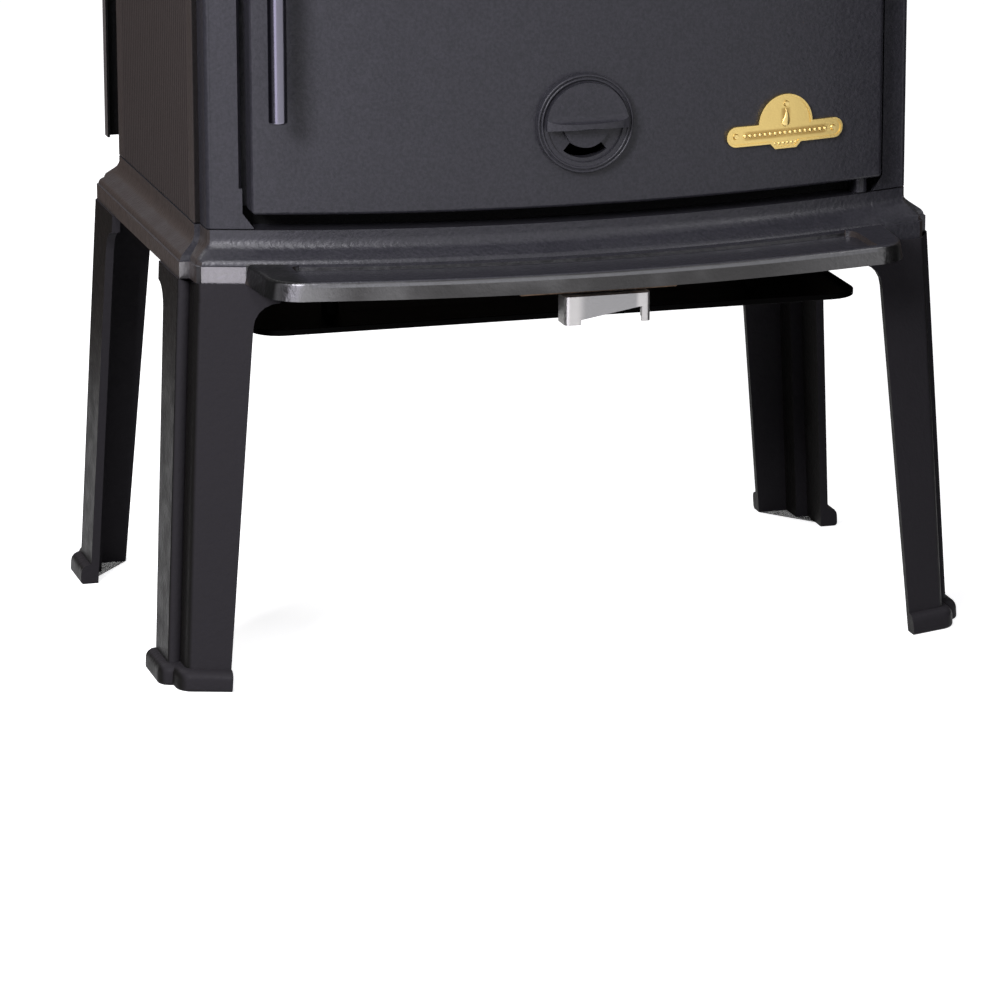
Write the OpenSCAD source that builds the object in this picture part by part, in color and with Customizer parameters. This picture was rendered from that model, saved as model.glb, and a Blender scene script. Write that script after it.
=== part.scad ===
/* [Body] */
// Width of the body over its side panels
body_w = 600; // [540:5:680]
// Depth of the side panels
side_d = 288; // [270:2:330]
// Height of the body between the base and the top
body_h = 400; // [390:5:460]
// Radius of the bowed front, seen from above
bow_r = 881; // [800:5:1200]
// How far the front and back stand out from the ends of the side panels
end_step = 25.4; // [22:0.2:30]
// Width of the narrow ledge at each corner of the body
ledge_w = 4.8; // [3:0.2:7]
// Radius of the rounded corner of the body
corner_r = 4.6; // [3:0.2:6]
// Thickness of the cast walls
wall = 8; // [7:0.5:9]

/* [Base and top mouldings] */
// Height of the plain band round the base and the top
band_h = 14; // [12:1:20]
// How far the band stands out from the body
band_out = 16.5; // [15:0.5:20]
// Height of the hollow moulding between band and body
cove_h = 26; // [24:0.5:30]
// Slope of the moulding, from upright
cove_angle = 55; // [50:1:60]
// Radius of the hollow part of the moulding
cove_r = 12; // [9:0.5:14]
// Radius of the rounded edge of the band
band_edge_r = 6; // [3:0.5:7]
// Thickness of the base's floor and of the top
slab_t = 10; // [9:0.5:11]

/* [Ash lip] */
// Height of the ash lip's edge
lip_h = 15.5; // [13:0.5:18]
// How far the ash lip reaches in front of the body's middle
lip_reach = 77; // [65:1:90]
// Radius of the lip's front edge, seen from above
lip_r = 1107; // [900:1:1400]
// Half width of the lip where it leaves the band
lip_half_w = 269; // [240:1:275]
// How much narrower each end of the lip is at its front
lip_taper = 5; // [0:1:12]
// Radius of the lip's front corners
lip_corner_r = 34; // [24:1:40]
// How far each end of the lip leans out at its bottom
lip_draft = 3; // [1:0.5:4]
// Width of the rim round the tray in the lip
lip_rim = 5; // [3:0.5:8]
// Depth of the tray in the lip
tray_deep = 5; // [3:0.5:5.5]

/* [Legs] */
// Height of the legs
leg_h = 331; // [280:1:380]
// Thickness of the legs' walls
leg_t = 7; // [6:0.5:8]
// How far each foot stands out sideways from the top of its leg
leg_splay_x = 18; // [10:1:22]
// How far each front foot stands forward of the top of its leg
leg_splay_front = 16; // [8:1:20]
// How far each rear foot stands behind the top of its leg
leg_splay_rear = 12; // [8:1:20]
// Width of the ledge on the corner of a leg
leg_ledge_w = 10.5; // [9:0.5:12]
// How far the rib on a leg's corner bulges forward
leg_rib = 2.5; // [1.5:0.5:3.5]
// Height of the moulding round a foot
foot_h = 17; // [12:1:24]
// How far the moulding stands out from the leg
foot_out = 8.5; // [5:0.5:11]
// Radius of the curve where a leg widens under the base
leg_fillet_r = 20; // [15:1:30]

/* [Door] */
// Distance of the door's sides from the sides of the body
door_inset = 34.4; // [32:0.2:60]
// How far the door hangs towards its hinges
door_offset = 2.3; // [0:0.1:2.5]
// Gap between the door and the frame round it
door_gap = 4.5; // [4:0.5:8]
// Distance of the door from the base and the top
door_drop = 14.5; // [13:0.5:20]
// How far the door's face stands proud of the frame
door_proud = 11.6; // [10:0.2:13]
// Radius of the door's rounded front edges
door_edge_r = 3; // [2:0.5:4]
// Radius of the door's front edge at its hinges
door_hinge_edge_r = 7; // [6:0.5:7]
// Height of the window
window_h = 124; // [90:2:140]
// Half width of the window
window_half_w = 178; // [140:2:190]
// Thickness of the glass
glass_t = 4; // [3:0.5:5]
// Diameter of the hinge pins
hinge_pin_d = 8; // [6:0.5:9]
// Clearance of the hinge pins in the door, on the radius
pin_clear = 0.08; // [0.05:0.01:0.1]

/* [Handle] */
// Diameter of the handle's rod
rod_d = 15; // [12:0.5:18]
// Length of the rod below its spindle
rod_drop = 145.5; // [110:0.5:160]
// Length of the rod above its spindle
rod_rise = 28; // [20:1:40]
// Distance of the rod's axis in front of the door
rod_stand = 36; // [32:1:44]
// Diameter of the handle's spindle
spindle_d = 12; // [10:0.5:13]

/* [Air valve] */
// Radius of the valve's outer ring
valve_r = 40; // [36:0.5:46]
// Height of the valve's centre above the bottom of the body
valve_rise = 82.5; // [70:0.5:90]
// Width of each of the ring's two beads
bead_w = 2.3; // [1.5:0.1:2.6]
// Radius of the valve's hub
hub_r = 19; // [15:0.5:21]
// How far the grip stands out from the flap
grip_out = 8.5; // [6:0.5:11]

/* [Badge plate] */
// Length of the badge plate
badge_w = 105.6; // [90:0.4:120]
// Height of the badge plate's bar
badge_h = 16.5; // [12:0.5:20]
// Radius of the dome on the badge plate
badge_dome_r = 24.5; // [18:0.5:28]
// Thickness of the badge plate
badge_t = 2.2; // [1.5:0.1:3]

/* [Air slide] */
// Width of the finger lever under the lip
lever_w = 71; // [60:1:84]
// Height of the finger lever
lever_h = 23; // [18:1:26]
// How far the air slide moves to each side
slide_travel = 25; // [15:1:25]

/* [Hotplate and flue] */
// Radius of the hotplate
hotplate_r = 90; // [75:1:95]
// Thickness of the hotplate's rim
hotplate_t = 7; // [5:0.5:7.5]
// Inner diameter of the flue collar
flue_d = 125.5; // [115:0.5:130]
// Height of the flue collar above the top
flue_h = 48; // [35:1:60]

/* [Firebox] */
// Height of the firebox floor above the base
floor_rise = 107; // [104:1:112]
// Thickness of the firebricks
brick_t = 28; // [22:1:30]
// Height of the firebricks
brick_h = 200; // [160:1:205]
// Half width of the ash chamber
ash_half_w = 160; // [130:1:180]
// Height of the ash pan
ash_pan_h = 56; // [40:1:58]

/* [Heat shields] */
// Thickness of the steel sheet of the heat shields
sheet_t = 2; // [1.5:0.1:2.5]
// Distance of the bottom heat shield's floor below the base
shield_drop = 50; // [40:1:60]
// Height of the bottom heat shield's rim
shield_rim_h = 5; // [4:0.5:12]
// Distance of the rear heat shield behind the body
rear_shield_gap = 20; // [15:1:30]

/* [Hidden] */
$fn = 96;

clear = 0.3;
half_w = body_w / 2;
half_d = side_d / 2;
base_h = band_h + cove_h;
body_z = leg_h + base_h;
top_z = body_z + body_h;
whole_h = top_z + base_h;
flat_half = half_w - ledge_w - corner_r;
rear_y = half_d + end_step;
bow_cy = -rear_y + sqrt(bow_r * bow_r - flat_half * flat_half);
front_y = bow_cy - bow_r;
door_half_w = half_w - door_inset;
door_left = door_half_w - door_offset;
door_right = door_half_w + door_offset;
far = 3 * (body_w + side_d);

// Depth of a bowed surface at a distance from the middle
function bow_y(x, r) = bow_cy - sqrt(r * r - x * x);
function flip(points) = [for (i = [len(points) - 1:-1:0]) [-points[i][0], points[i][1]]];
function turn(centre, r, from, to, steps) =
    [for (i = [0:steps]) let (a = from + (to - from) * i / steps) centre + r * [cos(a), sin(a)]];

// Outline of the body, grown outwards by a given amount
bow_steps = 12;
round_steps = 3;
band_ledge_w = 8.5;
band_corner_r = 9;
function ledge_at(p) = ledge_w + (band_ledge_w - ledge_w) * p / band_out;
function round_at(p) = max(1, corner_r + (band_corner_r - corner_r) * p / band_out);
function half_outline(p) = let (ledge = ledge_at(p), r = round_at(p),
        x_round = half_w + p - ledge, x_flat = x_round - r,
        y_flat = bow_y(x_flat, bow_r + p), y_back = rear_y + p) concat(
    [for (i = [0:bow_steps]) let (x = x_flat * i / bow_steps) [x, bow_y(x, bow_r + p)]],
    [for (i = [1:round_steps]) let (a = 90 * i / round_steps)
        [x_flat + r * sin(a), y_flat + r * (1 - cos(a))]],
    [[x_round, -half_d - p], [half_w + p, -half_d - p],
     [half_w + p, half_d + p], [x_round, half_d + p]],
    [for (i = [0:round_steps]) let (a = 90 * i / round_steps)
        [x_flat + r * cos(a), y_back - r * (1 - sin(a))]]);
function outline(p) = concat(half_outline(p), [for (q = flip(half_outline(p))) if (q[0] < 0) q]);

// Moulding as pairs of growth and drop below the body
cove_edge_x = band_edge_r * (1 - cos(cove_angle));
cove_hollow_x = cove_r * (1 - cos(cove_angle));
band_step = 1.2;
cove_slope = (band_out - band_step - cove_edge_x - cove_hollow_x) / sin(cove_angle);
cove_start = cove_h - (cove_r + band_edge_r) * sin(cove_angle) - cove_slope * cos(cove_angle);
cove_steps = 4;
function moulding() = concat([[0, 0]],
    [for (i = [0:cove_steps]) let (a = cove_angle * i / cove_steps)
        [cove_r * (1 - cos(a)), cove_start + cove_r * sin(a)]],
    [for (i = [0:cove_steps - 1]) let (a = cove_angle * (1 - i / cove_steps))
        [band_out - band_step - band_edge_r * (1 - cos(a)), cove_h - band_edge_r * sin(a)]],
    [[band_out - band_step, cove_h - 0.2], [band_out, cove_h + 0.4], [band_out, base_h]]);

// Solid through rings that have equally many points, lowest ring first
module loft(rings) {
    n = len(rings[0]);
    last = len(rings) - 1;
    polyhedron(
        points = [for (ring = rings) for (q = ring) q],
        faces = concat([[for (i = [0:n - 1]) i]], [[for (i = [n - 1:-1:0]) last * n + i]],
            [for (k = [0:last - 1]) for (i = [0:n - 1]) let (j = (i + 1) % n)
                each [[k * n + i, (k + 1) * n + i, (k + 1) * n + j],
                      [k * n + i, (k + 1) * n + j, k * n + j]]]),
        convexity = 6);
}

// Ring of an outline at a height; outlines run anticlockwise seen from above
function ring(points, z) = [for (q = points) [q[0], q[1], z]];

// Keeps what lies between two heights, with flat ends
module between(z0, z1) {
    intersection() {
        children();
        translate([-far / 2, -far / 2, z0])
            cube([far, far, z1 - z0]);
    }
}

// Moulded slab that narrows upwards from the band to the body
module moulded_slab() {
    steps = concat([[0, -1]], moulding(), [[band_out, base_h + 1]]);
    between(-base_h, 0)
        loft([for (i = [len(steps) - 1:-1:0]) if (i != 1 && i != len(steps) - 2)
            ring(outline(steps[i][0]), -steps[i][1])]);
}

// Hollow inside a moulded slab, one wall inside it, between two drops
function growth(drop) = lookup(drop, [for (s = moulding()) [s[1], s[0]]]);
module slab_hollow(low, high) {
    steps = [for (s = moulding()) if (s[1] < low - 0.5 && s[1] > high + 0.5) s];
    between(-low, -high)
        loft(concat([ring(outline(growth(low) - wall), -low - 1)],
            [for (i = [len(steps) - 1:-1:0]) ring(outline(steps[i][0] - wall), -steps[i][1])],
            [ring(outline(growth(high) - wall), -high + 1)]));
}

// Slice of a ring round the axis of the bow, between two radii and two heights
module bow_band(r_in, r_out, z0, z1) {
    translate([0, bow_cy, z0])
        rotate([0, 0, -125])
            rotate_extrude(angle = 70, $fn = 360)
                translate([r_in, 0])
                    square([r_out - r_in, z1 - z0]);
}

// Block that reaches through the front, with a rounded outline
through_d = half_w + side_d / 2;
module through_plan() {
    translate([0, front_y + through_d / 2, 0])
        rotate([90, 0, 0])
            linear_extrude(through_d)
                children();
}

module through(x0, x1, z0, z1, r) {
    through_plan()
        rounded(x0, x1, z0, z1, r);
}

module rounded(x0, x1, z0, z1, r) {
    polygon(concat(turn([x1 - r, z0 + r], r, -90, 0, 6), turn([x1 - r, z1 - r], r, 0, 90, 6),
        turn([x0 + r, z1 - r], r, 90, 180, 6), turn([x0 + r, z0 + r], r, 180, 270, 6)));
}

// The whole part is drawn about the body, then set so that its box is centred
lip_front = front_y - lip_reach;
lever_front = lip_front - 3;
foot_rear = half_d + band_out + leg_splay_rear + end_step + foot_out;
centre_y = (-lever_front - foot_rear) / 2;
module placed() {
    translate([0, centre_y, 0])
        children();
}

// Base

// Outline of the lip, drawn in by a given amount
lip_cy = lip_front + lip_r;
lip_back = -half_d - band_out - 12;
lip_end_x = lip_half_w - lip_taper;
lip_steps = 10;
function lip_y(x, i) = lip_cy - sqrt((lip_r - i) * (lip_r - i) - x * x);
lip_corner_steps = 9;
function lip_half(i, e) = let (xc = lip_end_x - lip_corner_r + e,
        yc = lip_y(xc, i) + lip_corner_r - i) concat(
    [for (k = [0:lip_steps]) let (x = xc * k / lip_steps) [x, lip_y(x, i)]],
    turn([xc, yc], lip_corner_r - i, -76, 0, lip_corner_steps),
    [[lip_half_w - i + e, lip_back]]);
function lip_outline(i, e = 0) =
    concat(lip_half(i, e), [for (q = flip(lip_half(i, e))) if (q[0] < 0) q]);

// Body of the lip, with ends that lean outwards and a rounded upper edge
lip_edge_r = 3;
lip_edge_steps = 4;
lip_edge = [for (k = [0:lip_edge_steps]) let (a = 72 * k / lip_edge_steps)
    [lip_h - lip_edge_r * (1 - sin(a)), lip_edge_r * (1 - cos(a))]];
module lip() {
    between(leg_h, leg_h + lip_h)
        loft([for (q = concat([[-1, 0]], lip_edge,
                [[2 * lip_h, 2 * lip_edge_r] - lip_edge[lip_edge_steps]]))
            ring(lip_outline(0.6 * q[1], lip_draft * (1 - q[0] / lip_h) - 0.4 * q[1]), leg_h + q[0])]);
}

tray_back_out = band_out + 1;
tray_half_w = lip_half_w - 32;
tray_corner_r = 10;
tray_back_y = bow_y(tray_half_w - tray_corner_r, bow_r + tray_back_out);
tray_half = concat([[tray_half_w, lip_front]],
    turn([tray_half_w - tray_corner_r, tray_back_y - tray_corner_r], tray_corner_r, 0, 72, 6),
    [[0.6 * tray_half_w, 0]]);
module tray() {
    intersection() {
        translate([0, 0, leg_h + lip_h - tray_deep])
            linear_extrude(tray_deep + 1)
                polygon(lip_outline(lip_rim));
        difference() {
            translate([0, 0, leg_h])
                linear_extrude(base_h)
                    polygon(concat(tray_half, flip(tray_half)));
            bow_band(0.5 * bow_r, bow_r + tray_back_out, leg_h - 1, body_z);
        }
    }
}

// Hollow under the lip, open below and towards the air slide
lip_wall = 5;
module lip_hollow() {
    intersection() {
        translate([0, 0, leg_h - 1])
            linear_extrude(lip_h - tray_deep - lip_wall + 1)
                polygon(lip_outline(lip_wall));
        difference() {
            translate([-half_w, lip_front, leg_h - 1])
                cube([body_w, -lip_front, base_h]);
            bow_band(0.5 * bow_r, bow_r + band_out, leg_h - 2, body_z);
        }
    }
}

// Places that the legs, the tie rods and the bottom heat shield are bolted to
leg_bolt_x = half_w - 42;
leg_bolt_y = half_d - 20;
leg_bolt_d = 10;
tie_x = half_w - 20;
tie_y = half_d - 19;
tie_d = 8;
stud_x = half_w - 120;
stud_y = half_d - 34;
stud_d = 6;
module at_corners(x, front, rear) {
    for (side = [-1, 1])
        for (y = [-front, rear])
            translate([side * x, y, 0])
                children();
}

hinge_x = door_right - 2 * hinge_pin_d;
hinge_y = bow_y(hinge_x, bow_r - 4.5);
module base() {
    color("dimgray") placed()
        difference() {
            union() {
                difference() {
                    translate([0, 0, body_z])
                        moulded_slab();
                    translate([0, 0, body_z])
                        slab_hollow(base_h + 1, slab_t);
                }
                at_corners(leg_bolt_x, leg_bolt_y, leg_bolt_y)
                    translate([0, 0, leg_h])
                        cylinder(d = 2.6 * leg_bolt_d, h = base_h - slab_t + 1);
                at_corners(stud_x, stud_y, stud_y)
                    translate([0, 0, leg_h])
                        cylinder(d = 3 * stud_d, h = base_h - slab_t + 1);
                difference() {
                    lip();
                    translate([0, bow_cy, leg_h - 1])
                        cylinder(r = bow_r + band_out - wall, h = base_h, $fn = 360);
                    lip_hollow();
                }
            }
            tray();
            at_corners(leg_bolt_x, leg_bolt_y, leg_bolt_y)
                translate([0, 0, leg_h - 1])
                    cylinder(d = leg_bolt_d + clear, h = base_h - slab_t);
            at_corners(stud_x, stud_y, stud_y)
                translate([0, 0, leg_h - 1])
                    cylinder(d = stud_d + clear, h = base_h - slab_t);
            at_corners(tie_x, tie_y, tie_y)
                translate([0, 0, leg_h - 1])
                    cylinder(d = tie_d + 2 * clear, h = base_h + 2);
        }
}

// Legs

leg_out = 1.5;
leg_round_r = 8;
leg_tab = 17.6;
leg_top_z = leg_h - 15;
fillet_z = leg_top_z - leg_fillet_r;
leg_front_w = 36;
leg_side_w = 50;
leg_front_taper = 10;
leg_side_taper = 6;
bow_tilt = 18;
foot_top_r = 7;
foot_low_r = 3;
function foot_growth(z) = z > foot_h - foot_top_r
    ? foot_out - foot_top_r + sqrt(foot_top_r * foot_top_r - pow(z - foot_h + foot_top_r, 2))
    : z < foot_low_r ? foot_out - foot_low_r + sqrt(foot_low_r * foot_low_r - pow(foot_low_r - z, 2))
    : foot_out;

// Section of a leg at a height; its moulding is grown outwards only
rib_half = leg_ledge_w / 2;
rib_r = (rib_half * rib_half + leg_rib * leg_rib) / (2 * leg_rib);
rib_angle = asin(rib_half / rib_r);
rib_steps = 6;
leg_round_steps = 5;
function spread(z) = z <= fillet_z ? 0 : leg_fillet_r
    - sqrt(max(0, leg_fillet_r * leg_fillet_r - pow(min(z, leg_top_z) - fillet_z, 2)));
function leg_section(z, o, splay_y, tilt) = let (
        t = (leg_h - z) / leg_h,
        low = max(0, (fillet_z - z) / fillet_z),
        x = half_w + band_out + leg_out + leg_splay_x * t,
        y = half_d + band_out + splay_y * t,
        x_round = x - leg_ledge_w,
        x_flat = x_round - leg_round_r,
        x_end = x_flat - leg_front_w + leg_front_taper * low - spread(z),
        y_flat = y + end_step,
        front_at = [x_flat, leg_round_r - y_flat] + (leg_round_r + o) * [sin(tilt), -cos(tilt)],
        y_tip = front_at[1] - tan(tilt) * (front_at[0] - x_end),
        y_end = y - leg_side_w + leg_side_taper * low - spread(z),
        rib_end = -acos((o - rib_half) / (rib_r + o))) concat([
    [x + o, -y_end, z],
    [x - leg_t, -y_end, z],
    [x - leg_t, -y + leg_t, z],
    [x_round - leg_t, -y + leg_t, z],
    [x_flat, -y_flat + leg_t, z],
    [x_end, y_tip + leg_t + o / cos(tilt), z]],
    ring([[x_end, y_tip]], z),
    ring(turn([x_flat, leg_round_r - y_flat], leg_round_r + o, tilt - 90, 0, leg_round_steps), z),
    ring(turn([x - rib_half, -y + rib_r - leg_rib], rib_r + o, rib_end, rib_angle - 96, rib_steps), z),
    ring(turn([x - 1, 0.6 - y], 1 + o, -35, 0, 2), z));

fillet_steps = 5;
foot_steps = 4;
module leg(splay_y, tilt) {
    low = [for (i = [0:foot_steps]) foot_low_r * (1 - cos(90 * i / foot_steps))];
    high = [for (i = [0:foot_steps]) foot_h - foot_top_r + foot_top_r * sin(90 * i / foot_steps)];
    difference() {
        union() {
            loft(concat(
                [for (z = concat(low, high)) leg_section(z, foot_growth(z), splay_y, tilt)],
                [leg_section(foot_h + 0.05, 0, splay_y, tilt)],
                [for (i = [0:fillet_steps])
                    leg_section(fillet_z + leg_fillet_r * sin(90 * i / fillet_steps), 0, splay_y, tilt)],
                [leg_section(leg_h, 0, splay_y, tilt)]));
            translate([leg_bolt_x - leg_tab, -leg_bolt_y - 1.5 * leg_tab, leg_h - leg_t])
                cube([half_w + band_out - leg_bolt_x + 0.8 * leg_tab, 2.5 * leg_tab, leg_t]);
        }
        translate([leg_bolt_x, -leg_bolt_y, leg_h - 2 * leg_t])
            cylinder(d = leg_bolt_d + 2 * clear, h = 3 * leg_t);
    }
}

module leg_front_left() {
    color("dimgray") placed()
        mirror([1, 0, 0])
            leg(leg_splay_front, bow_tilt);
}

module leg_front_right() {
    color("dimgray") placed()
        leg(leg_splay_front, bow_tilt);
}

module leg_rear_left() {
    color("dimgray") placed()
        mirror([1, 0, 0])
            mirror([0, 1, 0])
                leg(leg_splay_rear, 0);
}

module leg_rear_right() {
    color("dimgray") placed()
        mirror([0, 1, 0])
            leg(leg_splay_rear, 0);
}

// Bolt with its head down and its shank up
module bolt(d, grip, head_h, head_w) {
    translate([0, 0, -head_h])
        cylinder(d = head_w / cos(30), h = head_h, $fn = 6);
    cylinder(d = d, h = grip);
}

module leg_bolts() {
    color("gray") placed()
        at_corners(leg_bolt_x, leg_bolt_y, leg_bolt_y)
            translate([0, 0, leg_h - leg_t])
                bolt(leg_bolt_d, leg_t + base_h - slab_t - 6, 6.4, 17);
}

// Bottom heat shield

shield_z = leg_h - shield_drop;
shield_half_w = half_w - 43;
shield_front = half_d + 29;
shield_rear = half_d + 26;
shield_corner_r = 25;
module plate(x, front, rear, r, z0, z1) {
    translate([0, 0, z0])
        linear_extrude(z1 - z0)
            rounded(-x, x, -front, rear, r);
}

module bottom_heat_shield() {
    color("darkslategray") placed()
        difference() {
            plate(shield_half_w, shield_front, shield_rear, shield_corner_r, shield_z,
                shield_z + shield_rim_h);
            plate(shield_half_w - sheet_t, shield_front - sheet_t, shield_rear - sheet_t,
                shield_corner_r - sheet_t, shield_z + sheet_t, shield_z + shield_rim_h + 1);
            at_corners(stud_x, stud_y, stud_y)
                translate([0, 0, shield_z - 1])
                    cylinder(d = stud_d + clear, h = sheet_t + 2);
        }
}

module tube(d_out, d_in, h) {
    difference() {
        cylinder(d = d_out, h = h);
        translate([0, 0, -1])
            cylinder(d = d_in, h = h + 2);
    }
}

module shield_spacers() {
    color("gray") placed()
        at_corners(stud_x, stud_y, stud_y)
            translate([0, 0, shield_z + sheet_t])
                tube(2.4 * stud_d, stud_d + clear, shield_drop - sheet_t);
}

module shield_screws() {
    color("gray") placed()
        at_corners(stud_x, stud_y, stud_y)
            translate([0, 0, shield_z])
                bolt(stud_d, shield_drop + base_h - slab_t - 6, 4, 10);
}

// Seam round the body where it stands on the base
seam_h = 1.2;
seam_deep = 3.5;
module seam() {
    translate([0, 0, body_z - 1])
        difference() {
            linear_extrude(seam_h + 1)
                polygon(outline(2));
            translate([0, 0, -1])
                linear_extrude(seam_h + 3)
                    polygon(outline(-seam_deep));
        }
}

// Side panels

reed_count = 36;
reed_border = 16;
reed_deep = 2;
reed_pitch = (side_d - 2 * reed_border) / reed_count;
reed_points = 4;
module side_panel() {
    difference() {
        translate([0, 0, body_z])
            linear_extrude(body_h)
                polygon(concat([[half_w - wall, half_d], [half_w - wall, -half_d], [half_w, -half_d],
                    [half_w, -half_d + reed_border]],
                    [for (k = [0:reed_count - 1]) for (i = [0:reed_points])
                        [half_w - reed_deep * (1 - sin(180 * i / reed_points)),
                         -half_d + reed_border + (k + (i + 0.01) / (reed_points + 0.02)) * reed_pitch]],
                    [[half_w, half_d - reed_border], [half_w, half_d]]));
        seam();
    }
}

module side_panel_left() {
    color("dimgray") placed()
        mirror([1, 0, 0])
            side_panel();
}

module side_panel_right() {
    color("dimgray") placed()
        side_panel();
}

// Front frame

door_z0 = body_z + door_drop;
door_z1 = top_z - door_drop;
open_left = door_left + door_gap;
open_right = door_right + door_gap;
open_round = 3.5;
open_corner_w = 10.5;
open_corner_h = 13.5;
pocket_back = bow_r - 31;
seal_x = door_left - 31.3;
seal_w = 8;
seal_in = 7.5;
seal_face = bow_r - 13;
seal_right = seal_x + 2 * door_offset;
mouth_x = half_w - 78;
mouth_z0 = body_z + 28;
mouth_z1 = top_z - 28;

module corner_post() {
    translate([half_w - ledge_w - wall, -half_d - end_step + corner_r, body_z])
        cube([wall, end_step - corner_r, body_h]);
    translate([flat_half, -half_d - end_step + corner_r, body_z])
        cylinder(r = corner_r, h = body_h);
    translate([half_w - 2 * wall, -half_d - wall, body_z])
        cube([wall - clear, 2 * wall + 4, body_h]);
}

// Ring of bowed material in the seal's groove round the mouth
module seal_ring(r_in, r_out, g) {
    x0 = -seal_x - seal_w / 2 + g;
    x1 = seal_right + seal_w / 2 - g;
    z0 = door_z0 + seal_in - seal_w / 2 + g;
    z1 = door_z1 - seal_in + seal_w / 2 - g;
    w = seal_w - 2 * g;
    intersection() {
        bow_band(r_in, r_out, z0, z1);
        difference() {
            through(x0, x1, z0, z1, 12);
            through(x0 + w, x1 - w, z0 + w, z1 - w, 12 - w);
        }
    }
}

// Opening for the door, with its corners cut across and its left edge bevelled
module door_opening() {
    intersection() {
        bow_band(pocket_back + 6, bow_r + 9, body_z - 1, top_z + 1);
        through_plan()
            polygon([[-open_left + open_corner_w, body_z - 1], [open_right - open_corner_w, body_z - 1],
                [open_right, body_z + open_corner_h], [open_right, top_z - open_corner_h],
                [open_right - open_corner_w, top_z + 1], [-open_left + open_corner_w, top_z + 1],
                [-open_left, top_z - open_corner_h], [-open_left, body_z + open_corner_h]]);
    }
    y = bow_y(open_left, bow_r);
    translate([0, 0, body_z + 2.5 * open_corner_h])
        linear_extrude(body_h - 5 * open_corner_h)
            polygon([[1 - open_left, y - 2], [1 - open_left, y + open_round], [-open_left, y + open_round],
                [-open_left - open_round, y], [-open_left - open_round, y - 2]]);
}

module hinge_lug() {
    cylinder(d = 1.5 * hinge_pin_d, h = door_drop - clear);
    translate([-0.75 * hinge_pin_d, 0, 0])
        cube([1.5 * hinge_pin_d, bow_r - pocket_back, door_drop - clear]);
}

pocket_wall = 5;
module front_frame() {
    color("dimgray") placed()
        difference() {
            union() {
                difference() {
                    union() {
                        intersection() {
                            bow_band(bow_r - wall, bow_r, body_z, top_z);
                            translate([-flat_half, -half_w, body_z - 1])
                                cube([2 * flat_half, half_w, body_h + 2]);
                        }
                        intersection() {
                            bow_band(pocket_back, bow_r - wall + 1, body_z, top_z);
                            translate([-open_left - pocket_wall, -half_w, body_z - 1])
                                cube([open_left + open_right + 2 * pocket_wall, half_w, body_h + 2]);
                        }
                        corner_post();
                        mirror([1, 0, 0])
                            corner_post();
                    }
                    door_opening();
                    through(-mouth_x, mouth_x, mouth_z0, mouth_z1, 6);
                }
                seal_ring(pocket_back + 5, seal_face, 0);
                intersection() {
                    bow_band(pocket_back + 5, bow_r + 1.5, body_z - 1, top_z + 1);
                    for (z = [body_z, door_z1 + clear])
                        translate([hinge_x, hinge_y, z])
                            hinge_lug();
                }
            }
            for (z = [body_z + 1, door_z1 - 1])
                translate([hinge_x, hinge_y, z])
                    cylinder(d = hinge_pin_d, h = door_drop);
            seam();
        }
}

// Rear plate

rear_stud_x = half_w - 80;
rear_stud_z = 60;
module at_rear() {
    for (x = [-rear_stud_x, rear_stud_x], z = [body_z + rear_stud_z, top_z - rear_stud_z])
        translate([x, rear_y, z])
            rotate([-90, 0, 0])
                children();
}

module rear_plate() {
    color("dimgray") placed()
        difference() {
            union() {
                translate([-flat_half, rear_y - wall, body_z])
                    cube([2 * flat_half, wall, body_h]);
                for (side = [0, 1])
                    mirror([side, 0, 0])
                        mirror([0, 1, 0])
                            corner_post();
            }
            at_rear()
                translate([0, 0, -wall + 2])
                    cylinder(d = stud_d, h = wall);
            seam();
        }
}

// Top plate

hole_r = hotplate_r - 10;
hotplate_y = -88;
flue_y = 98;
flue_flange_r = flue_d / 2 + 20;
flue_bolt_r = flue_d / 2 + 14;
module top_plate() {
    color("dimgray") placed()
        difference() {
            union() {
                translate([0, 0, top_z])
                    mirror([0, 0, 1])
                        difference() {
                            moulded_slab();
                            slab_hollow(base_h - slab_t, -1);
                        }
                at_corners(tie_x, tie_y, tie_y)
                    translate([0, 0, top_z])
                        cylinder(d = 2.4 * tie_d, h = base_h - slab_t + 1);
            }
            at_corners(tie_x, tie_y, tie_y)
                translate([0, 0, top_z - 1])
                    cylinder(d = tie_d, h = base_h - slab_t - 4);
            translate([0, hotplate_y, top_z])
                cylinder(r = hole_r, h = base_h + 1);
            translate([0, hotplate_y, whole_h - hotplate_t])
                cylinder(r = hotplate_r + clear, h = hotplate_t + 1);
            translate([0, flue_y, top_z])
                cylinder(d = flue_d - 6, h = base_h + 1);
            at_flue_bolts()
                translate([0, 0, 2 - slab_t])
                    cylinder(d = stud_d, h = slab_t);
        }
}

module at_flue_bolts() {
    for (i = [0:3])
        translate([flue_bolt_r * cos(45 + 90 * i), flue_y + flue_bolt_r * sin(45 + 90 * i), whole_h])
            children();
}

groove_r = 62;
module hotplate() {
    color("dimgray") placed()
        translate([0, hotplate_y, whole_h - hotplate_t])
            difference() {
                union() {
                    cylinder(r = hotplate_r, h = hotplate_t);
                    translate([0, 0, -6])
                        cylinder(r = hole_r - 1.5, h = 7);
                }
                for (r = [groove_r, 0.55 * groove_r])
                    translate([0, 0, hotplate_t])
                        rotate_extrude()
                            translate([r, 0])
                                circle(1.5, $fn = 24);
                translate([0, 0, hotplate_t - 4])
                    cylinder(r = 11, h = 5);
            }
}

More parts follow.
